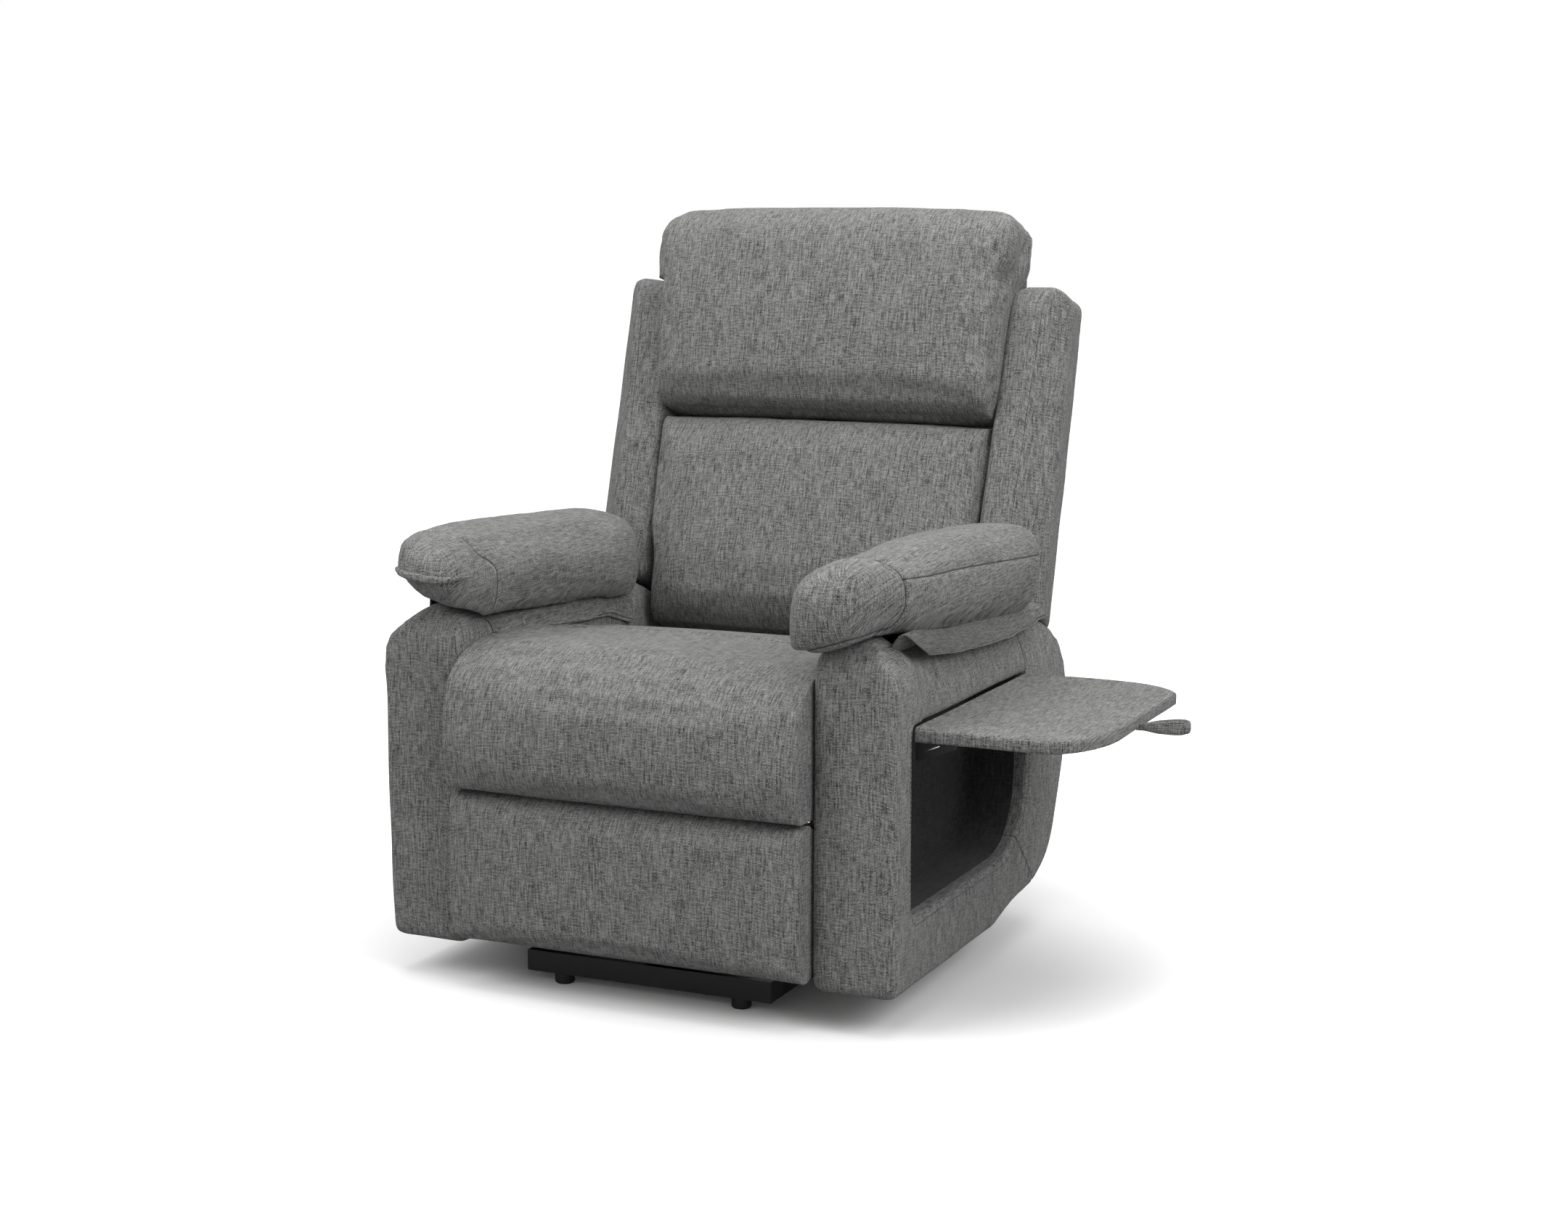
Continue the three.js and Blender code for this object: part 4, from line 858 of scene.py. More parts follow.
class Hardware:
    """Adds hard pieces in a local frame, each in its own finish and on its own body."""

    BOX_FACES = ((0, 1, 3, 2), (4, 6, 7, 5), (0, 4, 5, 1), (2, 3, 7, 6), (0, 2, 6, 4), (1, 5, 7, 3))

    def __init__(self, place: Place, finishes: Finishes) -> None:
        """Args: place: the pieces' frame. finishes: the chair's finishes."""
        self.place, self.finishes = place, finishes

    def add(self, name: str, corners: Sequence[Triple], faces: Sequence[Sequence[int]], slot: Slot, body: str,
            material: Optional[bpy.types.Material] = None, soft: bool = True) -> bpy.types.Object:
        """Makes one piece.

        Args:
            name: of the piece.
            corners: in local millimetres.
            faces: corner numbers of each face.
            slot, body: record slot, and the body that it rides on.
            material: its finish, where that isn't the slot's own.
            soft: whether it is shaded smooth.

        Returns:
            The object.
        """
        mesh = bpy.data.meshes.new(name)
        mesh.from_pydata(self.place.row(np.array(corners, float)).tolist(), [], [list(f) for f in faces])
        mesh.materials.append(material or self.finishes.of(slot))
        mesh.polygons.foreach_set("use_smooth", [soft] * len(mesh.polygons))
        made = bpy.data.objects.new(name, mesh)
        bpy.context.scene.collection.objects.link(made)
        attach(made, body)
        return made

    def lathes(self, name: str, spots: Sequence[Triple], axis: int, profile: Sequence[tuple[float, float]],
               slot: Slot, body: str, sides: int, way: float = 1.0, hollow: bool = False) -> None:
        """Turned pieces of one kind, such as bolt heads.

        Args:
            name: of the joined piece.
            spots: where each starts, in local millimetres.
            axis: 0, 1 or 2, the local axis that they point along.
            profile: (radius, height) pairs from the foot to the tip.
            slot, body: record slot, and the body that they ride on.
            sides: 6 for a hexagon head, more for a turned one.
            way: 1 or -1 along the axis.
            hollow: the profile closes on itself, round an open middle.
        """
        corners: list[Triple] = []
        faces: list[list[int]] = []
        for spot in spots:
            start = len(corners)
            for radius, height in profile:
                for i in range(sides):
                    angle = 2 * math.pi * i / sides
                    offset = [radius * math.cos(angle), radius * math.sin(angle)]
                    offset.insert(axis, height * way)
                    corners.append([a + b for a, b in zip(spot, offset)])
            rows = len(profile)
            for row in range(rows if hollow else rows - 1):
                here, above = start + row * sides, start + (row + 1) % rows * sides
                for i in range(sides):
                    j = (i + 1) % sides
                    faces.append([here + i, here + j, above + j, above + i])
            if not hollow:
                faces.append([start + i for i in reversed(range(sides))])
                faces.append([start + (rows - 1) * sides + i for i in range(sides)])
        self._face_out(self.add(name, corners, faces, slot, body, soft=False))

    def block(self, name: str, low: Triple, high: Triple, slot: Slot, body: str, edge: float) -> None:
        """Makes a block with rounded edges.

        Args:
            name: of the piece.
            low, high: opposite corners, in local millimetres.
            slot, body: record slot, and the body that it rides on.
            edge: width of the rounding.
        """
        corners = [[(low, high)[i][0], (low, high)[j][1], (low, high)[k][2]]
                   for i in (0, 1) for j in (0, 1) for k in (0, 1)]
        made = self.add(name, corners, self.BOX_FACES, slot, body, soft=False)
        bevel = made.modifiers.new("edges", "BEVEL")
        bevel.width, bevel.segments = edge * MM, 2

    @staticmethod
    def _face_out(made: bpy.types.Object) -> None:
        """Args: made: the piece whose faces are turned outwards."""
        work = bmesh.new()
        work.from_mesh(made.data)
        bmesh.ops.recalc_face_normals(work, faces=work.faces)
        work.to_mesh(made.data)
        work.free()

    def stitches(self, name: str, line: Sequence[Triple], surface: BVHTree, body: str, length: float = 4.5,
                 gap: float = 2.2, thick: float = 0.55) -> None:
        """A row of thread stitches lying on a surface.

        Args:
            name: of the piece.
            line: points in local millimetres near the surface.
            surface: what the stitches lie on.
            body: that they ride on.
            length, gap, thick: of each stitch, in millimetres.
        """
        path = np.array(line, float)
        steps = np.linalg.norm(np.diff(path, axis=0), axis=1)
        along = np.concatenate([[0], np.cumsum(steps)])
        corners: list[Triple] = []
        faces: list[list[int]] = []
        start = 0.0
        while start + length < along[-1]:
            rows = []
            for share in (0.0, 0.2, 0.8, 1.0):
                spot = [float(np.interp(start + share * length, along, path[:, i])) for i in range(3)]
                found, normal, _, _ = surface.find_nearest(self.place.point(*spot))
                up = Vector(normal)
                lift = thick * MM * (-0.4 if share in (0.0, 1.0) else 0.35)
                rows.append((found + up * lift, up))
            way = (rows[-1][0] - rows[0][0]).normalized()
            first = len(corners)
            for centre, up in rows:
                side = way.cross(up).normalized()
                for a, b in ((1, 0), (0, 1), (-1, 0), (0, -1)):
                    corners.append(centre + side * (a * thick * MM) + up * (b * thick * MM))
            for row in range(3):
                for i in range(4):
                    a, b = first + row * 4 + i, first + row * 4 + (i + 1) % 4
                    faces.append([a, b, b + 4, a + 4])
            faces.append([first + i for i in (3, 2, 1, 0)])
            faces.append([first + 12 + i for i in range(4)])
            start += length + gap
        local = self.place.local(np.array([list(c) for c in corners]))
        self.add(name, local.tolist(), faces, Slot.UPHOLSTERY, body, self.finishes.thread)


# ---------------------------------------------------------------- sub-assemblies
ARM_GAP_HALF = 267.2        # from the middle to just short of an arm
FRONT, REAR, FLOOR, OVERHEAD = -200.0, 600.0, 0.0, 700.0


def to_arms(p: Points) -> Points:
    """Args: p: local points. Returns: how the seat's and footrest pad's ends press flat on the arms."""
    x = np.abs(p[:, 0])
    return np.stack([np.sign(p[:, 0]) * 8 * smooth((x - 244) / 13), 0 * x, 0 * x], axis=1)


@dataclass
class Seat:
    """Seat cushion with its sewn crease and front roll.

    Attributes:
        half: half of its width.
        crease: y of the crease.
        topstitch: from the crease to the row of stitches in front of it.
        floor: height of the frame below it.
        sag, sag_right, sag_middle: how much lower the used top lies all over, more on the right and more
            in the middle.
        middle: y of the lowest place.
    """

    half: float = 266.0
    crease: float = 302.0
    topstitch: float = 16.0
    floor: float = 355.0
    sag: float = 4.0
    sag_right: float = 3.0
    sag_middle: float = 8.0
    middle: float = 170.0

    def build(self, finishes: Finishes) -> None:
        """Args: finishes: the chair's finishes."""
        low, high = (-250, 200, 420), (250, 400, 620)
        creases = [
            Seam(plane((0, 1, 0), self.crease), low, high, 6.0, 6.0, 3.0, 1.0),
            Seam(plane((0, 1, 0), self.crease - self.topstitch), low, high, 1.4, 2.2, 0.3, 0.8),
        ]
        cover = Skin("seat_cover", CHAIR, ["seat_cushion"]).remesh(5).shift(self._settle).relax(2)
        cover.stuff(2.5, 4, 0.003, self._held, creases[:1]).refine().sew(creases)
        cover.push(lambda p: ripple(p, 90, 3) * 0.5 * smooth((p[:, 2] - 300) / 60))
        cover.shift(self._tuck).shift(to_arms)
        cover.keep((-ARM_GAP_HALF, FRONT, FLOOR), (ARM_GAP_HALF, REAR, OVERHEAD))
        cover.dress(Lay.CUSHION, finishes.fabric, 1).declare("carriage")
        line = [(x, self.crease - self.topstitch, 480) for x in np.linspace(-235, 235, 60)]
        Hardware(CHAIR, finishes).stitches("seat_topstitch", line, cover.surface(), "carriage", 5, 4)

    def _held(self, p: Points) -> Points:
        """Returns: 1 where the cover lies on the arms and the frame."""
        at_arm = smooth((np.abs(p[:, 0]) - self.half + 10) / 8)
        on_frame = smooth((self.floor + 8 - p[:, 2]) / 8) * (p[:, 1] > 20)
        return np.maximum(at_arm, on_frame)

    def _settle(self, p: Points) -> Points:
        """Lets the used seat lie a little lower, most of all in its middle and on its right.

        Args:
            p: local points.

        Returns:
            Their moves.
        """
        right = smooth((p[:, 0] + 60) / 240)
        extra = self.sag_right * right
        drop = self.sag + extra + (self.sag_middle + extra) * np.exp(-((p[:, 1] - self.middle) / 100) ** 2)
        drop *= smooth((p[:, 2] - 430) / 40) * smooth((262 - np.abs(p[:, 0])) / 25)
        return np.stack([0 * drop, 0 * drop, -drop], axis=1)

    def _tuck(self, p: Points) -> Points:
        """Returns: the small fold that hangs at the front roll's lower corners."""
        corner = smooth((np.abs(p[:, 0]) - 248) / 10) * smooth((304 - p[:, 2]) / 10)
        corner *= smooth((-38 - p[:, 1]) / 5)
        return np.stack([np.zeros(len(p)), -1.5 * corner, -7.5 * corner], axis=1)


@dataclass
class Footrest:
    """Padded panel that closes the front below the seat.

    Attributes:
        half: half of its width.
        board_front: y of its board's front face.
        top: the highest that it may reach below the seat.
    """

    half: float = 266.0
    board_front: float = 1.0
    top: float = 286.8

    def build(self, finishes: Finishes) -> None:
        """Args: finishes: the chair's finishes."""
        pad = Skin("footrest_cover", CHAIR, ["footrest_pad"]).remesh(4.5).relax(2)
        pad.stuff(2, 3.5, 0.003, self._held).refine().sew([])
        pad.push(lambda p: ripple(p, 100, 17) * 0.5 * smooth((-8 - p[:, 1]) / 12))
        pad.shift(to_arms).keep((-ARM_GAP_HALF, FRONT, FLOOR), (ARM_GAP_HALF, REAR, self.top))
        pad.dress(Lay.CUSHION, finishes.fabric, 2).declare("footrest")

    def _held(self, p: Points) -> Points:
        """Returns: 1 where the cover lies on its board and near the arms."""
        at_board = smooth((p[:, 1] + 14 - self.board_front) / 8)
        return np.maximum(at_board, smooth((np.abs(p[:, 0]) - self.half + 8) / 6))


@dataclass
class Backrest:
    """Lumbar and head cushions, wings and rear cover, all in the back's own frame.

    Attributes:
        board: y of the board's front face.
        wing_inside: x of a wing's inner face at its top.
        wing_flare: how much nearer the middle that face is at its foot.
        wing_face: width of a wing's front face.
        wing_front, wing_top: y and z of its front and top.
        wing_rear: y of the seam along its rear.
        cover_seam: x of the rear cover's upright seams.
    """

    board: float = -22.0
    wing_inside: float = 290.0
    wing_flare: float = 20.0
    wing_face: float = 47.0
    wing_front: float = -80.0
    wing_top: float = 612.0
    wing_rear: float = 44.0
    cover_seam: float = 250.0

    def build(self, finishes: Finishes) -> None:
        """Args: finishes: the chair's finishes."""
        lumbar = Skin("lumbar_cover", BACK, ["lumbar_cushion"]).remesh(5).relax(2)
        lumbar.stuff(2.5, 4, 0.003, self._held).refine().sew([])
        lumbar.push(lambda p: ripple(p, 110, 5) * 0.5)
        lumbar.dress(Lay.CUSHION, finishes.fabric, 3).declare("backrest")
        head = Skin("head_cover", BACK, ["head_cushion"]).remesh(5).shift(self._ears).relax(8)
        head.stuff(2.5, 4, 0.002, self._held).refine().sew([])
        head.push(lambda p: 1.5 - 2.0 * smooth((p[:, 2] - 690) / 30) + ripple(p, 120, 9) * 0.6)
        head.dress(Lay.CUSHION, finishes.fabric, 4).declare("backrest")
        for side in (1, -1):
            self._wing(side, finishes)
        self._cover(finishes)

    def _held(self, p: Points) -> Points:
        """Returns: 1 where a cushion lies on the board."""
        return smooth((p[:, 1] - self.board + 12) / 8)

    def _ears(self, p: Points) -> Points:
        """Narrows the head cushion to its face and settles it on the wings' tops.

        Args:
            p: local points.

        Returns:
            Their moves.
        """
        x, y, z = p.T
        over = smooth((z - self.wing_top + 6) / 14)
        face = smooth((-66 - y) / 46)
        narrow = -x * over * np.where(x > 0, 0.026 + 0.03 * face, 0.012 * face)
        taper = smooth((self.wing_top + 36 - z) / 36) * over * np.where(x > 0, 1.0, 0.3)
        narrow -= np.sign(x) * np.maximum(np.abs(x) - 289, 0) * taper
        sink = -12 * smooth((np.abs(x) - 286) / 8) * smooth((self.wing_top + 44 - z) / 34)
        return np.stack([narrow, 0 * x, sink], axis=1)

    def _spread(self, p: Points) -> Points:
        """Fills the wings' outer sides and tops.

        Args:
            p: local points.

        Returns:
            Their moves.
        """
        outer = smooth((np.abs(p[:, 0]) - 300) / 50)
        wide = np.where(p[:, 0] < 0, 13.0, -2.0) * outer
        crown = smooth((p[:, 2] - 540) / 60)
        rear = np.exp(-(((p[:, 1] - 42) / 22) ** 2 + ((p[:, 2] - 598) / 22) ** 2)) * 3
        rise = crown * (3.5 + np.where(p[:, 0] < 0, 6.0, 0.0) * outer)
        return np.stack([np.sign(p[:, 0]) * wide, rear, rise + rear], axis=1)

    def _edge(self, p: Points) -> Points:
        """Returns: the field of the seam down a wing's front, near its outer edge."""
        inside = self.wing_inside - self.wing_flare * (1 - p[:, 2] / self.wing_top)
        return np.abs(p[:, 0]) - (inside + self.wing_face + 5)

    def _wing(self, side: int, finishes: Finishes) -> None:
        """Makes one wing.

        Args:
            side: 1 for the right one, -1 for the left one.
            finishes: the chair's finishes.
        """
        name = "right" if side > 0 else "left"
        front = ((-500, self.wing_front - 30, 60), (500, self.wing_front + 26, 560))
        seams = [
            Seam(self._edge, *front, 0.8, 2.8, 0.9, 0.25, 0.35),
            Seam(plane((0, 1, 0), self.wing_rear), (side * 372 - 40, -100, 60), (side * 372 + 40, 90, 590),
                 1.1, 2.4, 0.3, 0.2),
        ]
        wing = Skin(f"wing_cover_{name}", BACK, [f"wing_{name}"]).remesh(5).shift(self._spread)
        wing.relax(10).refine().sew(seams)
        wing.push(lambda p: 1.2 + ripple(p, 130, 12 + side) * 0.8)
        wing.dress(Lay.CUSHION, finishes.fabric, 5 + side).declare("backrest", 0.8)

    def _cover(self, finishes: Finishes) -> None:
        """Args: finishes: the chair's finishes."""
        seams = [Seam(plane((side, 0, 0), self.cover_seam), depth=1.0, width=2.2, swell=0.3, pucker=0.3)
                 for side in (1, -1)]
        seams.append(Seam(plane((0, 0, 1), 40), depth=1.0, width=2.0, swell=0.2, pucker=0.2))
        cover = Skin("rear_cover", BACK, ["back_cover"]).remesh(4.5).relax(2).refine().sew(seams)
        cover.dress(Lay.CUSHION, finishes.fabric, 8).declare("backrest", None)
        beside = [side * (self.cover_seam + step) for side, step in ((-1, 7), (-1, -7), (1, -7), (1, 7))]
        rows = [[(x, 80, z) for z in (46, 690)] for x in beside]
        surface = cover.surface()
        for number, (low, high) in enumerate(rows, 1):
            line = [tuple(np.array(low) + (np.array(high) - low) * t) for t in np.linspace(0, 1, 40)]
            Hardware(BACK, finishes).stitches(f"rear_topstitch_{number}", line, surface, "backrest", 6, 3.5)


@dataclass
class Arm:
    """One upholstered arm with its pad and apron.

    Attributes:
        side: 1 on the pocket side, -1 on the other.
        inner, width: x of the arm's inner face, and the arm's width.
        pocket: y of its front and rear, z of its bottom and top.
        pad_middle, pad_half: x of the pad's middle, and half of its width.
        pad_front, pad_length: y of the pad's front, and its length.
        shoulder: x and z of the dome's outer shoulder.
        fullness: how far the wadding fills it.
    """

    side: int
    inner: float = 268.0
    width: float = 120.0
    pocket: tuple[float, float, float, float] = (67, 538, 152, 411)
    pad_middle: float = 326.0
    pad_half: float = 84.0
    pad_front: float = -57.0
    pad_length: float = 624.0
    shoulder: tuple[float, float] = (372.0, 470.0)
    fullness: float = 9.0

    @property
    def name(self) -> str:
        """Returns: the side's name."""
        return "right" if self.side > 0 else "left"

    def across(self, low: float, high: float) -> tuple[float, float]:
        """Returns: a range of x on this side, lowest first."""
        return tuple(sorted((self.side * low, self.side * high)))

    def build(self, finishes: Finishes) -> None:
        """Args: finishes: the chair's finishes."""
        self._body(finishes)
        self._pad(finishes)
        self._apron(finishes)

    def _body(self, finishes: Finishes) -> None:
        """Args: finishes: the chair's finishes."""
        outer = self.inner + self.width
        low, high = self.across(outer - 40, outer + 8)
        seams = [
            Seam(plane((0, 1, 0), 536), (low, 500, 412), (high, 620, 490), 0.9, 2.2, 0.3, 0.15),
            Seam(plane((0, 0.72, 0.694), 474), (low, 497, 40), (high, 720, 168), 0.9, 2.2, 0.3, 0.15),
        ]
        arm = Skin(f"arm_cover_{self.name}", CHAIR, [f"arm_{self.name}", f"arm_board_{self.name}"])
        points = arm.points()
        count = len(frame["nodes"][f"arm_{self.name}"].data.vertices)
        points[count:] += np.sign(points[count:] - points[count:].mean(axis=0)) * (2, 2, 0)
        arm.set_points(points)
        arm.remesh(6).shift(self._fullness).relax(3).refine().sew(seams)
        arm.push(self._soften).dress(Lay.CUSHION, finishes.fabric, 20 + self.side)
        arm.declare("carriage", 0.8)
        if self.side > 0:
            self._pocket(arm, finishes)

    def _fullness(self, p: Points) -> Points:
        """Fills the dome's outer shoulder, the left arm's side and the lower rear.

        Args:
            p: local points.

        Returns:
            Their moves.
        """
        x = np.abs(p[:, 0])
        across, height = self.shoulder
        shoulder = np.exp(-(((x - across) / 26) ** 2 + ((p[:, 2] - height) / 44) ** 2))
        shoulder *= smooth((200 - p[:, 1]) / 120)
        low_rear = np.exp(-(((p[:, 1] - 560) / 60) ** 2 + ((p[:, 2] - 110) / 60) ** 2))
        side = smooth((x - 360) / 26) * (5.0 if self.side < 0 else 0.0) * smooth((p[:, 2] - 60) / 200)
        out = self.side * (shoulder * self.fullness + side)
        up = shoulder * self.fullness - low_rear * 9 * (p[:, 2] > 30)
        return np.stack([out, low_rear * 12, up], axis=1)

    def _soften(self, p: Points) -> Points:
        """Swells the wadding a little on the open faces.

        Args:
            p: local points.

        Returns:
            Their moves along the normal.
        """
        front, rear, bottom, top = self.pocket
        lip = np.maximum.reduce([front - p[:, 1], p[:, 1] - rear, bottom - p[:, 2], p[:, 2] - top])
        on_outer = smooth((np.abs(p[:, 0]) - 372) / 14)
        on_front = smooth((8 - p[:, 1]) / 6) * smooth((p[:, 2] - 70) / 60)
        swell = 1.6 * smooth(p[:, 2] / 120) * smooth((lip + 4) / 30) * on_outer
        middle = np.exp(-((np.abs(p[:, 0]) - 328) / 34) ** 2)
        return swell + 3.0 * on_front * middle - 0.6 + ripple(p, 120, 30 + self.side) * 0.6

    def _pocket(self, arm: Skin, finishes: Finishes) -> None:
        """Gives the pocket's inside a much darker copy of the cloth as painted shade, and stitches round its
        mouth.

        Args:
            arm: the arm's cover.
            finishes: the chair's finishes.
        """
        front, rear, bottom, top = self.pocket
        mesh = arm.mesh
        # Faces inside the pocket take the darker copy of the cloth: painted shade of the pocket's shadow.
        mesh.materials.append(finishes.pocket_shade)
        centres = np.empty(len(mesh.polygons) * 3)
        mesh.polygons.foreach_get("center", centres)
        p = CHAIR.local(centres.reshape(-1, 3))
        inside = ((p[:, 1] > front - 3) & (p[:, 1] < rear + 3) & (p[:, 2] > bottom - 3) & (p[:, 2] < top + 3)
                  & (p[:, 0] > 280) & (p[:, 0] < self.inner + self.width - 22))
        mesh.polygons.foreach_set("material_index", inside.astype(np.int32))
        x, edge, bend = self.inner + self.width, 11.0, 112.0
        line = [(x, front - edge, top), (x, front - edge, bottom + 20), (x, front - edge + 20, bottom - edge),
                (x, rear - bend + edge, bottom - edge)]
        line += [(x, rear - bend + (bend + edge) * math.sin(a), bottom + bend - (bend + edge) * math.cos(a))
                 for a in np.linspace(0.15, math.pi / 2, 12)]
        line += [(x, rear + edge, top)]
        Hardware(CHAIR, finishes).stitches("pocket_topstitch", line, arm.surface(), "carriage")

    def _droop(self, p: Points) -> Points:
        """Lets the pad's nose hang lower, and slopes its underside up to the outside.

        Args:
            p: local points.

        Returns:
            Their moves.
        """
        x, y, z = np.abs(p[:, 0]), p[:, 1], p[:, 2]
        nose = smooth((45 - y) / 100)
        out = (x - self.pad_middle) / self.pad_half
        top = smooth((z - 560) / 50)
        rear = (2, 8, 10) if self.side > 0 else (-6, -5, -3)
        lean = np.interp(y, (-57, 0, 100, 200, 300, 450), (-23, -15, -9, *rear)) + 4 * nose * out
        if self.side > 0:
            under = nose * (13 * out + 2 - 8 * np.exp(-(out + 0.1) ** 2 / 0.3))
            corner = np.array((246.0, -52.0, 524.0))
        else:
            under = smooth((75 - y) / 110) * (27 + 6 * out)
            corner = np.array((-243.0, 64.0, 508.0))
        to_corner = corner - p
        pull = 0.42 * np.exp(-((to_corner ** 2).sum(axis=1) / 42 ** 2))
        move = to_corner * pull[:, None]
        move[:, 0] -= self.side * 16 * nose * smooth(out)
        move[:, 2] += top * lean + (1 - top) * under
        return move

    def _cap(self, p: Points) -> Points:
        """The seam round the pad's nose, whose lower part runs along the bottom of the face.

        Args:
            p: local points.

        Returns:
            The seam's field.
        """
        x = np.abs(p[:, 0])
        low_inside = smooth((588 - p[:, 2]) / 22) * smooth((330 - x) / 30)
        behind = p[:, 1] - 38 - 30 * np.maximum(smooth((262 - x) / 18), low_inside)
        if self.side < 0:
            return behind
        return np.maximum(behind, 520 + 0.3 * (x - 268) - p[:, 2])

    def _length(self, p: Points) -> Points:
        """Returns: the field of the seam along the pad's outer face."""
        return p[:, 2] + 0.06 * p[:, 1] - 622.6 + 6 * smooth((220 - p[:, 1]) / 200)

    def _pad(self, finishes: Finishes) -> None:
        """Args: finishes: the chair's finishes."""
        front = self.pad_front
        outside = self.across(384, 440)
        seams = [
            Seam(self._cap, (-500, front - 10, 470), (500, front + 190, 700), 1.6, 2.6, 0.8, 0.5),
            Seam(plane((0, 1, 0), front + self.pad_length - 30), depth=1.4, width=2.8, swell=0.6, pucker=0.5),
        ]
        if self.side > 0:
            box = (outside[0], 42, 560), (outside[1], 548, 660)
            seams.append(Seam(self._length, *box, 1.1, 2.6, 0.5, 0.4))
        pad = Skin(f"pad_cover_{self.name}", CHAIR, [f"arm_pad_{self.name}"])
        pad.remesh(5).shift(self._droop).relax(2)
        pad.stuff(3, 5, 0.004, self._held)
        pad.refine().sew(seams)
        pad.push(lambda p: ripple(p, 80, 40 + self.side) * 0.6 + ripple(p, 34, 44 + self.side) * 0.2)
        pad.shift(self._sag).dress(Lay.LENGTHWISE, finishes.fabric, 24 + self.side).declare("carriage")

    def _held(self, p: Points) -> Points:
        """Returns: 1 on the pad's flat underside."""
        return smooth((self._foot(p) + 10 - p[:, 2]) / 12)

    def _foot(self, p: Points) -> Points:
        """Finds the pad's underside.

        Args:
            p: local points.

        Returns:
            The height of the underside below each.
        """
        out = (np.abs(p[:, 0]) - self.pad_middle) / self.pad_half
        if self.side > 0:
            lift = smooth((45 - p[:, 1]) / 100) * (13 * out)
        else:
            lift = smooth((75 - p[:, 1]) / 110) * 26
        return 533 - 0.083 * p[:, 1] + 23.5 * out + lift

    def _sag(self, p: Points) -> Points:
        """Returns: how the pad's outer side rests on its apron."""
        drop = smooth((np.abs(p[:, 0]) - 345) / 30) * smooth((self._foot(p) + 62 - p[:, 2]) / 55)
        drop *= smooth((p[:, 1] - 20) / 60)
        return np.stack([np.zeros(len(p)), np.zeros(len(p)), -9.0 * drop], axis=1)

    def _apron(self, finishes: Finishes) -> None:
        """Makes the hemmed skirt that is sewn under the pad and hangs down both sides of the arm.

        Args:
            finishes: the chair's finishes.
        """
        edge = np.array([0, 0.9, 2.2, 3.8, 5.0, 5.6, 6.4, 7.2, 8.6, 10.5, 13, 17, 22, 28])
        inward, hem, count = 44, 6.0, 128
        stitch = np.concatenate([edge - hem, np.full(inward, FAR), (edge - hem)[::-1]])
        rows = []
        for u in np.linspace(0, 1, count):
            controls = self._apron_line(u)
            length = reach(controls)
            between = np.linspace(edge[-1], length - edge[-1], inward + 2)[1:-1]
            spots = np.concatenate([edge, between, length - edge[::-1]])
            row = curve(controls, spots)
            wave = math.sin(u * 31) * 0.8 + math.sin(u * 57 + 1.3) * 0.5
            near_in, near_out = np.exp(-spots / 22), np.exp(-(length - spots) / 22)
            row[:, 0] += near_out * (wave + 6 * smooth((u - 0.94) / 0.06)) - near_in * (
                wave * 0.5 + 7 * smooth((u - 0.93) / 0.07))
            groove = np.exp(-(stitch / 0.9) ** 2) * 0.45
            row[:, 0] += groove * np.where(spots < length / 2, 1, -1)
            rows.append(row * (self.side, 1, 1))
        sheet = Cloth(f"apron_{self.name}", CHAIR, np.array(rows), 1.7, finishes.fabric, stitch)
        sheet.declare(f"arm_apron_{self.name}", "carriage", "hung", [f"pad_cover_{self.name}"])

    def _apron_line(self, u: float) -> Points:
        """One crossways line of the apron.

        Args:
            u: where it lies, from 0 in front to 1 at the rear.

        Returns:
            Points from the inner to the outer hem.
        """
        def at(low: float, high: float) -> float:
            """Returns: a value between those at the front and at the rear."""
            return low + (high - low) * u

        rise = 24 * np.clip((118 - at(98, 545)) / 50, 0, 1)
        start = (380, 40) if self.side > 0 else (364, 84)
        fold = np.array([np.interp(u, (0, 0.1, 1), (start[0], 374, 374)), at(start[1], 585),
                         np.interp(u, (0, 0.1, 0.33, 0.72, 1), (541, 539, 523, 511, 509))])
        marks = (0, 0.2, 0.41, 0.68, 0.83, 1)
        hem = np.array([np.interp(u, marks, (377, 383, 386, 388, 387, 386)), at(148, 616),
                        np.interp(u, marks, (496, 485, 479, 473.5, 476, 484))])
        return np.array([
            (266, at(97, 508), np.interp(u, (0, 0.5, 0.82, 1), (492, 480, 468, 446))),
            (266, at(98, 510), 470 + rise + 3 * (1 - u)), (281.5, at(96, 515), 501 + rise),
            (322, at(80, 530), 517 + rise), (350, at(64, 548), 507 + rise), fold,
            fold * 0.5 + hem * 0.5 + (3, 0, 0), hem])


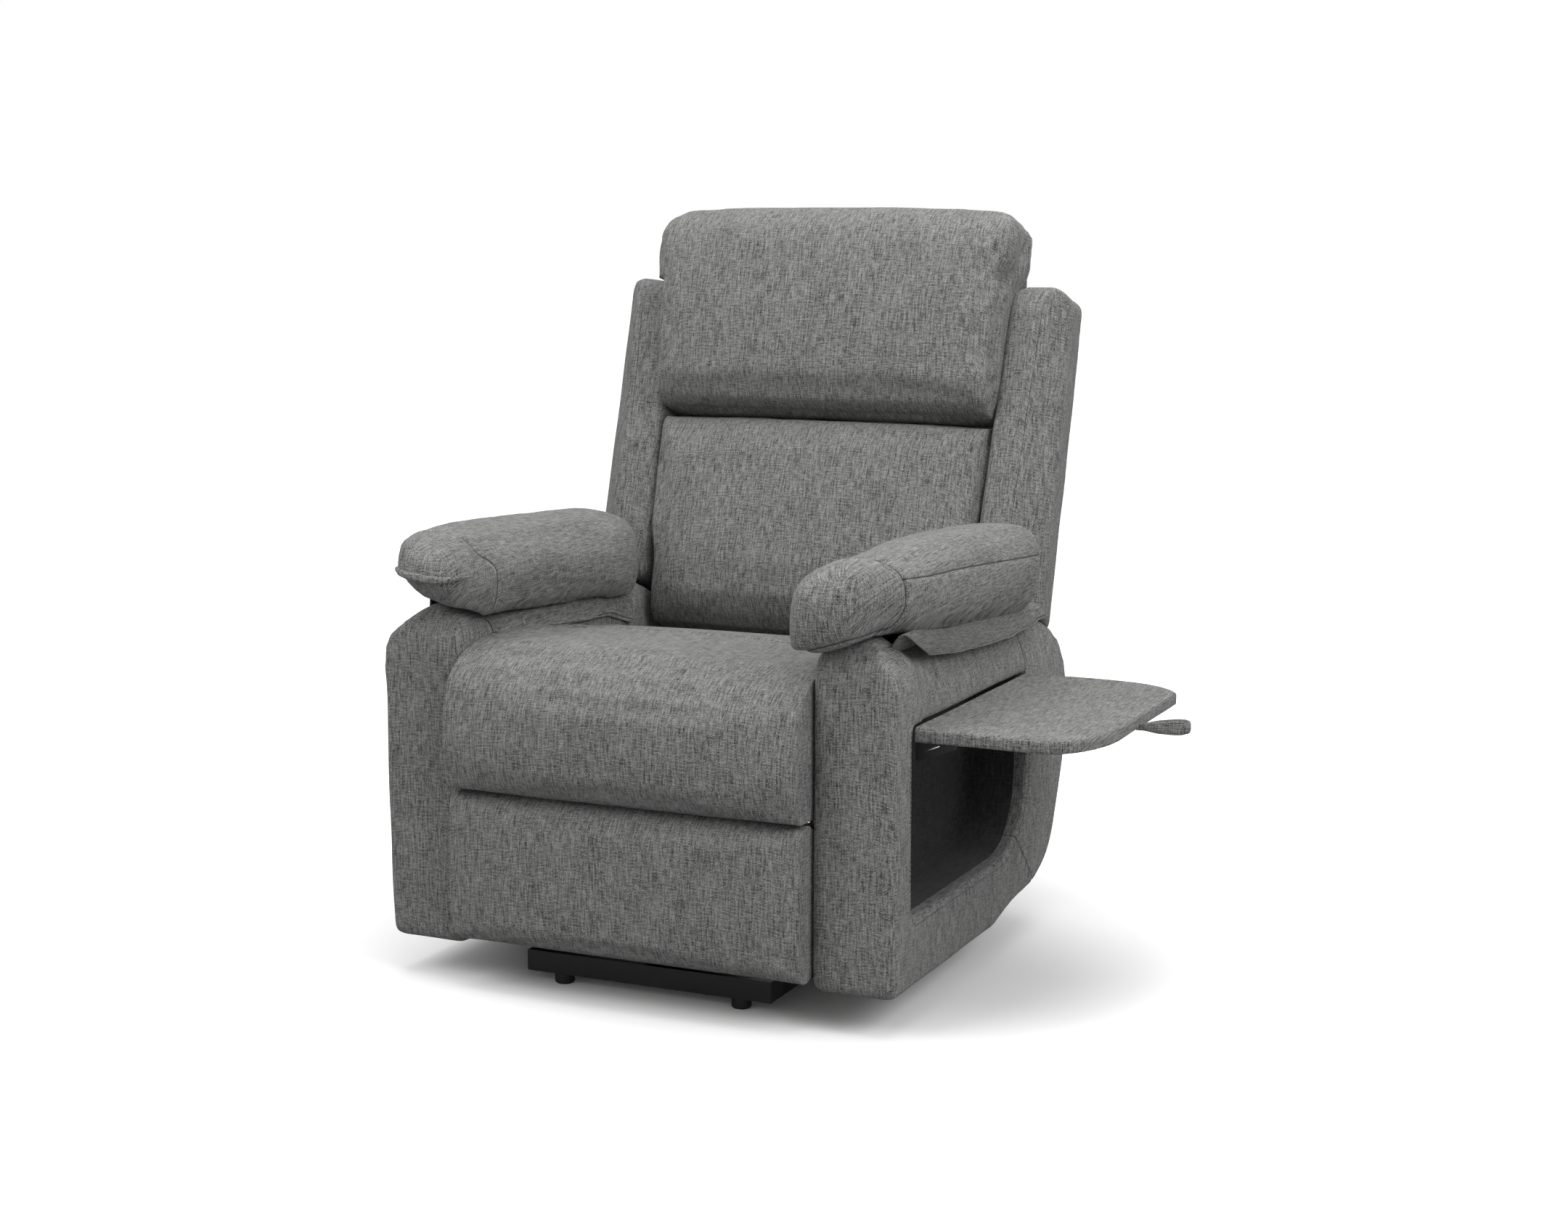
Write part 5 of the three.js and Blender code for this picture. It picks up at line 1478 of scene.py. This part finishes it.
@dataclass
class Flap:
    """Fabric-covered side table with its pull loop and bracket.

    Attributes:
        hinge, top: x and z of the hinge line.
        reach: from the hinge to the outer edge.
        loop_y, loop_length, strap: place, length and width of the pull loop.
        bracket: the bracket's y, its top and the length of its leg.
    """

    hinge: float = 386.0
    reach: float = 244.0
    top: float = 411.0
    loop_y: float = 296.0
    loop_length: float = 70.0
    strap: float = 18.0
    bracket: tuple[float, float, float] = (72.9, 392.7, 58.0)

    def build(self, finishes: Finishes) -> None:
        """Args: finishes: the chair's finishes."""
        panel = Skin("flap_cover", CHAIR, ["side_flap"]).remesh(2.8).relax(3).sew([])
        panel.push(lambda p: 0.6 + ripple(p, 80, 61) * 0.45).shift(self._to_arm)
        panel.dress(Lay.LENGTHWISE, finishes.fabric, 31).declare("flap", 0.9)
        self._loop(finishes)
        self._rivets_and_highlight(finishes)

    def _to_arm(self, p: Points) -> Points:
        """Closes the cover's inner edge on the arm.

        Args:
            p: local points.

        Returns:
            Their moves.
        """
        near = smooth((404 - p[:, 0]) / 14)
        inwards = -near * (p[:, 0] - self.hinge - 1.4) * 0.85
        return np.stack([inwards, 0 * near, near * 1.5 * (p[:, 2] > 402)], axis=1)

    def _loop(self, finishes: Finishes) -> None:
        """Makes a folded strap whose ends meet at the flap's edge and whose loop stands open.

        Args:
            finishes: the chair's finishes.
        """
        count, wide = 65, 9
        tip = self.hinge + self.reach
        spots = np.array([-4, 5, 16, 30, 44, 55, 62, 66.5, self.loop_length - 2])
        spread = np.array([1.3, 1.5, 3.4, 6.4, 8.0, 8.2, 7.2, 5.0, 0.0])
        share = np.linspace(-1, 1, count)
        place = np.interp(1 - np.abs(share), np.array([0, 0.13, 0.3, 0.5, 0.68, 0.82, 0.91, 0.96, 1]), spots)
        x = tip + place
        turn = np.interp(place, (0, self.loop_length), (-8, 3))
        y = self.loop_y + np.interp(place, spots, spread) * np.sign(share) + turn
        tall = np.interp(place, (-4, 8, 26, 50, self.loop_length), (9, 10, 16, 19, 18))
        middle = self.top - 5 - self.strap / 2 + np.interp(place, (0, self.loop_length), (-1.5, 1.5))
        across = np.linspace(-0.5, 0.5, wide)
        round_end = 1 - 0.16 * np.abs(across * 2) ** 3 * smooth((place[:, None] - 58) / 10)
        grid = np.stack([x[:, None] - 2.2 * np.abs(across * 2) ** 3 * smooth((place[:, None] - 58) / 10),
                         np.broadcast_to(y[:, None], (count, wide)),
                         middle[:, None] + tall[:, None] * across * round_end], axis=-1)
        bow = (1 - (2 * across) ** 2) * np.sign(share)[:, None] * 0.7
        grid[:, :, 1] += bow * smooth((place[:, None] - 4) / 20)
        strap = Cloth("loop_strap", CHAIR, grid, 2.4, finishes.fabric)
        strap.declare("pull_loop", "flap", "folded", ["flap_cover"])

    def _rivets_and_highlight(self, finishes: Finishes) -> None:
        """Adds a thin bright zinc strip on the bracket's edge as a painted highlight, and the bracket's
        rivets.

        Args:
            finishes: the chair's finishes.
        """
        tools = Hardware(CHAIR, finishes)
        y, top, leg = self.bracket
        # A thin bright zinc strip along the bracket plate's edge: a painted highlight.
        corners = [(self.hinge + 12, y - 1.4, top - 12), (self.hinge + leg - 22, y - 1.4, top - 2.2)]
        thick = (0.5, 0.6, 0.8)
        points = [tuple(a + s * t for a, s, t in zip(c, (0, sy, sz), thick)) for c in corners
                  for sy in (-1, 1) for sz in (-1, 1)]
        tools.add("bracket_highlight_strip", points, tools.BOX_FACES, Slot.ZINC_STEEL, "flap")
        profile = [(3.6, 0), (3.4, 0.8), (2.0, 1.3)]
        spots = [(self.hinge - 32, 67.3, z) for z in (372, 348)]
        tools.lathes("bracket_rivets", spots, 1, profile, Slot.ZINC_STEEL, "carriage", 16, -1)


@dataclass(frozen=True)
class Pin:
    """Fixings at one pivot, the same on both sides of the chair.

    Attributes:
        name: of the pieces.
        at: (y, z) of the pivot in chair millimetres.
        lane: distance from the chair's middle plane where the fixing sits.
        way: 1 outwards, -1 inwards.
        height: of the nut or head.
        body: that it rides on.
        sides: 6 for a hexagon, more for a turned head.
        washer: radius of a washer below it, or 0.
    """

    ACROSS_HEXAGON = 9.2
    ACROSS_TURNED = 9.8
    name: str
    at: tuple[float, float]
    lane: float
    way: int
    height: float
    body: str
    sides: int = 6
    washer: float = 0.0

    def build(self, tools: Hardware) -> None:
        """Args: tools: adds the pieces."""
        radius = self.ACROSS_HEXAGON if self.sides == 6 else self.ACROSS_TURNED
        for side, name in ((1, "right"), (-1, "left")):
            foot = 0.0
            spot = (side * self.lane, *self.at)
            if self.washer:
                foot = 1.0
                rim = [(self.washer, 0), (self.washer, 0.8), (self.washer - 0.3, 1.0)]
                tools.lathes(f"{self.name}_washer_{name}", [spot], 0, rim, Slot.ZINC_STEEL, self.body, 28,
                             side * self.way)
            shoulder, tip = foot + self.height * 0.75, foot + self.height
            profile = [(radius, foot), (radius, shoulder), (radius - 1.0, tip)]
            tools.lathes(f"{self.name}_{name}", [spot], 0, profile, Slot.ZINC_STEEL, self.body, self.sides,
                         side * self.way)


class Metalwork:
    """CAD pieces that are shown as they are, with rounded edges, fixings and finishes."""

    BEVEL = 1.1
    RAIL = (161.0, 189.0)       # x of a base rail's sides
    RAIL_TOP = 45.0
    WELDS = (("front", 78.15), ("rear", 669.85))
    PLUGS = (("front", BEAM_FRONT), ("rear", 670.0))
    CONTROL_LID = 210.7
    LIFT, LIFT_TIP = (560, 70), (190, 105)
    TILT, TILT_TIP = (627.4, 112.9), (230, 130)
    PINS = (
        Pin("lift_head", LIFT, 175.0, -1, 5.0, "base"),
        Pin("lift_nut", LIFT, 188.4, 1, 2.8, "base"),
        Pin("tilt_head", TILT, 175.0, -1, 5.0, "base"),
        Pin("tilt_nut", TILT, 196.4, 1, 3.4, "base"),
        Pin("lift_tip_nut", LIFT_TIP, 183.2, -1, 4.0, "carriage"),
        Pin("tilt_tip_nut", TILT_TIP, 191.2, -1, 2.4, "carriage", washer=15.0),
        Pin("recline_nut", BACK_PIVOT[1:], 213.4, 1, 4.6, "carriage", washer=12.0),
        Pin("recline_head", BACK_PIVOT[1:], 200.2, -1, 4.6, "carriage"),
        Pin("leg_cap", (50, 225), 213.4, 1, 2.2, "carriage", 20),
        Pin("leg_head", (50, 225), 200.2, -1, 4.6, "carriage"),
        Pin("scissor_rivet", (201.5, 118.9), 221.4, 1, 2.4, "footrest_rear_links", 20),
        Pin("panel_rivet", (24, 150), 229.4, 1, 3.6, "footrest_front_links", 20),
    )
    MOTORS = (
        ("lift", (105.0, 62.0), (450.0, 150.0)),
        ("recline", (180.0, 200.0), (601.33, 299.9)),
    )

    def __init__(self, finishes: Finishes) -> None:
        """Args: finishes: the chair's finishes."""
        self.finishes = finishes

    def build(self) -> None:
        """Finishes every CAD node by its record slot and adds the fixings."""
        for piece in frame["record"]["subparts"]:
            self._finish(frame["nodes"][piece["node"]], Slot(piece["material_slot"]))
        tools = Hardware(CHAIR, self.finishes)
        for pin in self.PINS:
            pin.build(tools)
        for motor in self.MOTORS:
            self._motor(*motor)
        self._base(tools)

    def _finish(self, node: bpy.types.Object, slot: Slot) -> None:
        """Finishes one CAD node and rounds its edges.

        Args:
            node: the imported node.
            slot: its record slot.
        """
        node.data.materials.clear()
        node.data.materials.append(self.finishes.of(slot))
        if slot is Slot.SPRING_STEEL:
            rounder = node.modifiers.new("round", "SUBSURF")
            rounder.levels = rounder.render_levels = 1
            node.data.polygons.foreach_set("use_smooth", [True] * len(node.data.polygons))
        elif slot is not Slot.UPHOLSTERY:
            bevel = node.modifiers.new("edges", "BEVEL")
            bevel.width, bevel.segments = self.BEVEL * MM, 2
            bevel.limit_method, bevel.angle_limit = "ANGLE", math.radians(40)

    def _motor(self, name: str, tail: tuple[float, float], tip: tuple[float, float]) -> None:
        """Adds cover screws, the can's end and the tube's bush, in the motor's own frame.

        Args:
            name: the motor's name.
            tail, tip: (y, z) of its rear and front pivots.
        """
        lean = math.atan2(tip[1] - tail[1], tip[0] - tail[0])
        tube_end = math.hypot(tip[0] - tail[0], tip[1] - tail[1]) * 0.68
        tools = Hardware(Place(tuple(CHAIR.point(0, *tail)), lean), self.finishes)
        body = f"{name}_motor_body"
        screws = [(x, 18, z) for x in (-18, 68) for z in (-18, 18)]
        head = [(3.4, 0), (3.2, 1.4), (1.6, 1.8)]
        tools.lathes(f"{name}_cover_screws", screws, 1, head, Slot.ZINC_STEEL, body, 16, -1)
        cap = [(20.5, 0), (20.5, 2.0), (17.0, 4.0), (8.0, 4.4), (7.0, 3.0)]
        tools.lathes(f"{name}_can_end", [(50, 176, 0)], 1, cap, Slot.BLACK_PLASTIC, body, 32)
        bush = [(19.4, -9), (19.4, 0), (18.0, 1.6), (10.8, 1.6), (10.8, -9)]
        tools.lathes(f"{name}_tube_bush", [(0, tube_end, 0)], 1, bush, Slot.BLACK_PLASTIC, body, 32,
                     hollow=True)

    def _base(self, tools: Hardware) -> None:
        """Adds weld beads and end plugs to the base, and the control box's screws.

        Args:
            tools: adds the pieces.
        """
        for side, name in ((1, "right"), (-1, "left")):
            low, high = sorted(side * x for x in self.RAIL)
            for end, y in self.WELDS:
                corners = (low, y - 2.4, self.RAIL_TOP - 0.4), (high, y + 2.4, self.RAIL_TOP + 1.3)
                tools.block(f"weld_{end}_{name}", *corners, Slot.BLACK_STEEL, "base", 0.8)
            low, high = sorted(side * (self.RAIL[1] + step) for step in (0.5, 2.6))
            for end, y in self.PLUGS:
                corners = (low, y + 0.6, 16.1), (high, y + 29.4, 44.9)
                tools.block(f"plug_{end}_{name}", *corners, Slot.BLACK_PLASTIC, "base", 0.9)
        spots = [(x, y, self.CONTROL_LID) for x in (66, 184) for y in (499, 546)]
        head = [(3.2, 0), (3.0, 1.2), (1.5, 1.6)]
        tools.lathes("control_screws", spots, 2, head, Slot.ZINC_STEEL, "carriage", 16, -1)


# ---------------------------------------------------------------- stage
@dataclass
class Stage:
    """White floor, light and camera of the photograph.

    Attributes:
        azimuth, pitch, roll: of the camera, in degrees.
        lens: its focal length in millimetres.
        spot: its place in the chair's frame.
        aim: where the lights point, in the same frame.
        sky: strength of the white around the chair as a light.
        floor: how bright the floor is as a light on the chair.
    """

    LIGHTS = (
        ("key", (-1500, -2300, 2900), 2.2, 46),
        ("top", (300, 300, 3200), 3.0, 62),
        ("side", (2600, -700, 2100), 1.8, 40),
    )
    # Rings of glow on the floor, seen by the camera: the first lifts the shadow near the chair with painted
    # light, the second turns the floor white beyond.
    GLOWS = ((0.46, 0.6, 0.09), (0.72, 1.35, 0.45))     # inner and outer radius in metres, strength
    azimuth: float = 24.0766
    pitch: float = 8.5972
    roll: float = 0.2341
    lens: float = 57.596
    spot: tuple[float, float, float] = (1554.4, -2966.5, 1068.5)
    aim: tuple[float, float, float] = (0.0, 300.0, 500.0)
    sky: float = 0.66
    floor: float = 0.30

    def build(self) -> None:
        """Adds floor, world, lights and camera."""
        self._camera()
        for light in self.LIGHTS:
            self._light(*light)
        self._world()
        self._paper()
        bpy.context.scene.view_settings.view_transform = "Standard"

    def _camera(self) -> None:
        """Adds the camera fitted to the photo."""
        az, el, roll = (math.radians(v) for v in (self.azimuth, self.pitch, self.roll))
        back = Vector((math.sin(az) * math.cos(el), -math.cos(az) * math.cos(el), math.sin(el)))
        right = Vector((math.cos(az), math.sin(az), 0))
        up = back.cross(right)
        c, s = math.cos(roll), math.sin(roll)
        axes = Matrix((c * right + s * up, -s * right + c * up, back)).transposed()
        data = bpy.data.cameras.new("camera")
        data.lens, data.sensor_width, data.sensor_fit = self.lens, 36, "AUTO"
        made = bpy.data.objects.new("camera", data)
        made.matrix_world = Matrix.Translation(CHAIR.point(*self.spot)) @ axes.to_4x4()
        bpy.context.scene.collection.objects.link(made)
        bpy.context.scene.camera = made

    def _light(self, name: str, at: Triple, size: float, power: float) -> None:
        """Adds one soft round light.

        Args:
            name: of the light.
            at: its place, in chair millimetres.
            size: across it, in metres.
            power: in watts.
        """
        data = bpy.data.lights.new(name, "AREA")
        data.shape, data.size, data.energy = "DISK", size, power
        made = bpy.data.objects.new(name, data)
        made.location = CHAIR.point(*at)
        aim = CHAIR.point(*self.aim)
        made.rotation_euler = (aim - made.location).to_track_quat("-Z", "Y").to_euler()
        bpy.context.scene.collection.objects.link(made)

    def _world(self) -> None:
        """White to the camera, dimmer as a light."""
        world = bpy.data.worlds.new("white")
        world.use_nodes = True
        tree = world.node_tree
        seen = tree.nodes.new("ShaderNodeLightPath").outputs["Is Camera Ray"]
        level = tree.nodes.new("ShaderNodeMapRange")
        level.inputs["To Min"].default_value, level.inputs["To Max"].default_value = self.sky, 1.0
        tree.links.new(seen, level.inputs["Value"])
        tree.nodes["Background"].inputs[0].default_value = (1, 1, 1, 1)
        tree.links.new(level.outputs[0], tree.nodes["Background"].inputs[1])
        bpy.context.scene.world = world

    def _paper(self) -> None:
        """A floor that holds the shadow and turns white away from the chair. Its glow is seen only by the
        camera: a faint ring of painted light lifts the shadow near the chair, and a stronger one turns the
        floor white farther out.
        """
        bpy.ops.mesh.primitive_plane_add(size=60, location=(0, 0, 0))
        floor = bpy.context.object
        floor.name = "floor"
        shader = Shader("paper", (0.9, 0.9, 0.9), 1.0)
        shader.surface.inputs["Specular IOR Level"].default_value = 0.0
        shader.surface.inputs["Emission Strength"].default_value = 1.0
        seen = shader.node("ShaderNodeLightPath", output="Is Camera Ray")
        dim = (self.floor,) * 3
        shader.feed("Base Color", shader.mix(seen, dim, (0.97, 0.97, 0.97)))
        at = shader.node("ShaderNodeTexCoord", output="Object")
        away = shader.node("ShaderNodeVectorMath", {0: at}, output="Value", operation="LENGTH")
        near, far = (away.remap(inner, outer, 0.0, strength) for inner, outer, strength in self.GLOWS)
        glow = (near + far) * seen
        shader.feed("Emission Color", shader.mix(glow, (0, 0, 0), (1, 1, 1)))
        floor.data.materials.append(shader.material)


def main() -> None:
    """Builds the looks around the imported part."""
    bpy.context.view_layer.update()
    finishes = Finishes()
    Metalwork(finishes).build()
    Seat().build(finishes)
    Footrest().build(finishes)
    Backrest().build(finishes)
    for side in (1, -1):
        Arm(side).build(finishes)
    Flap().build(finishes)
    Stage().build()


if __name__ == "__main__":
    main()
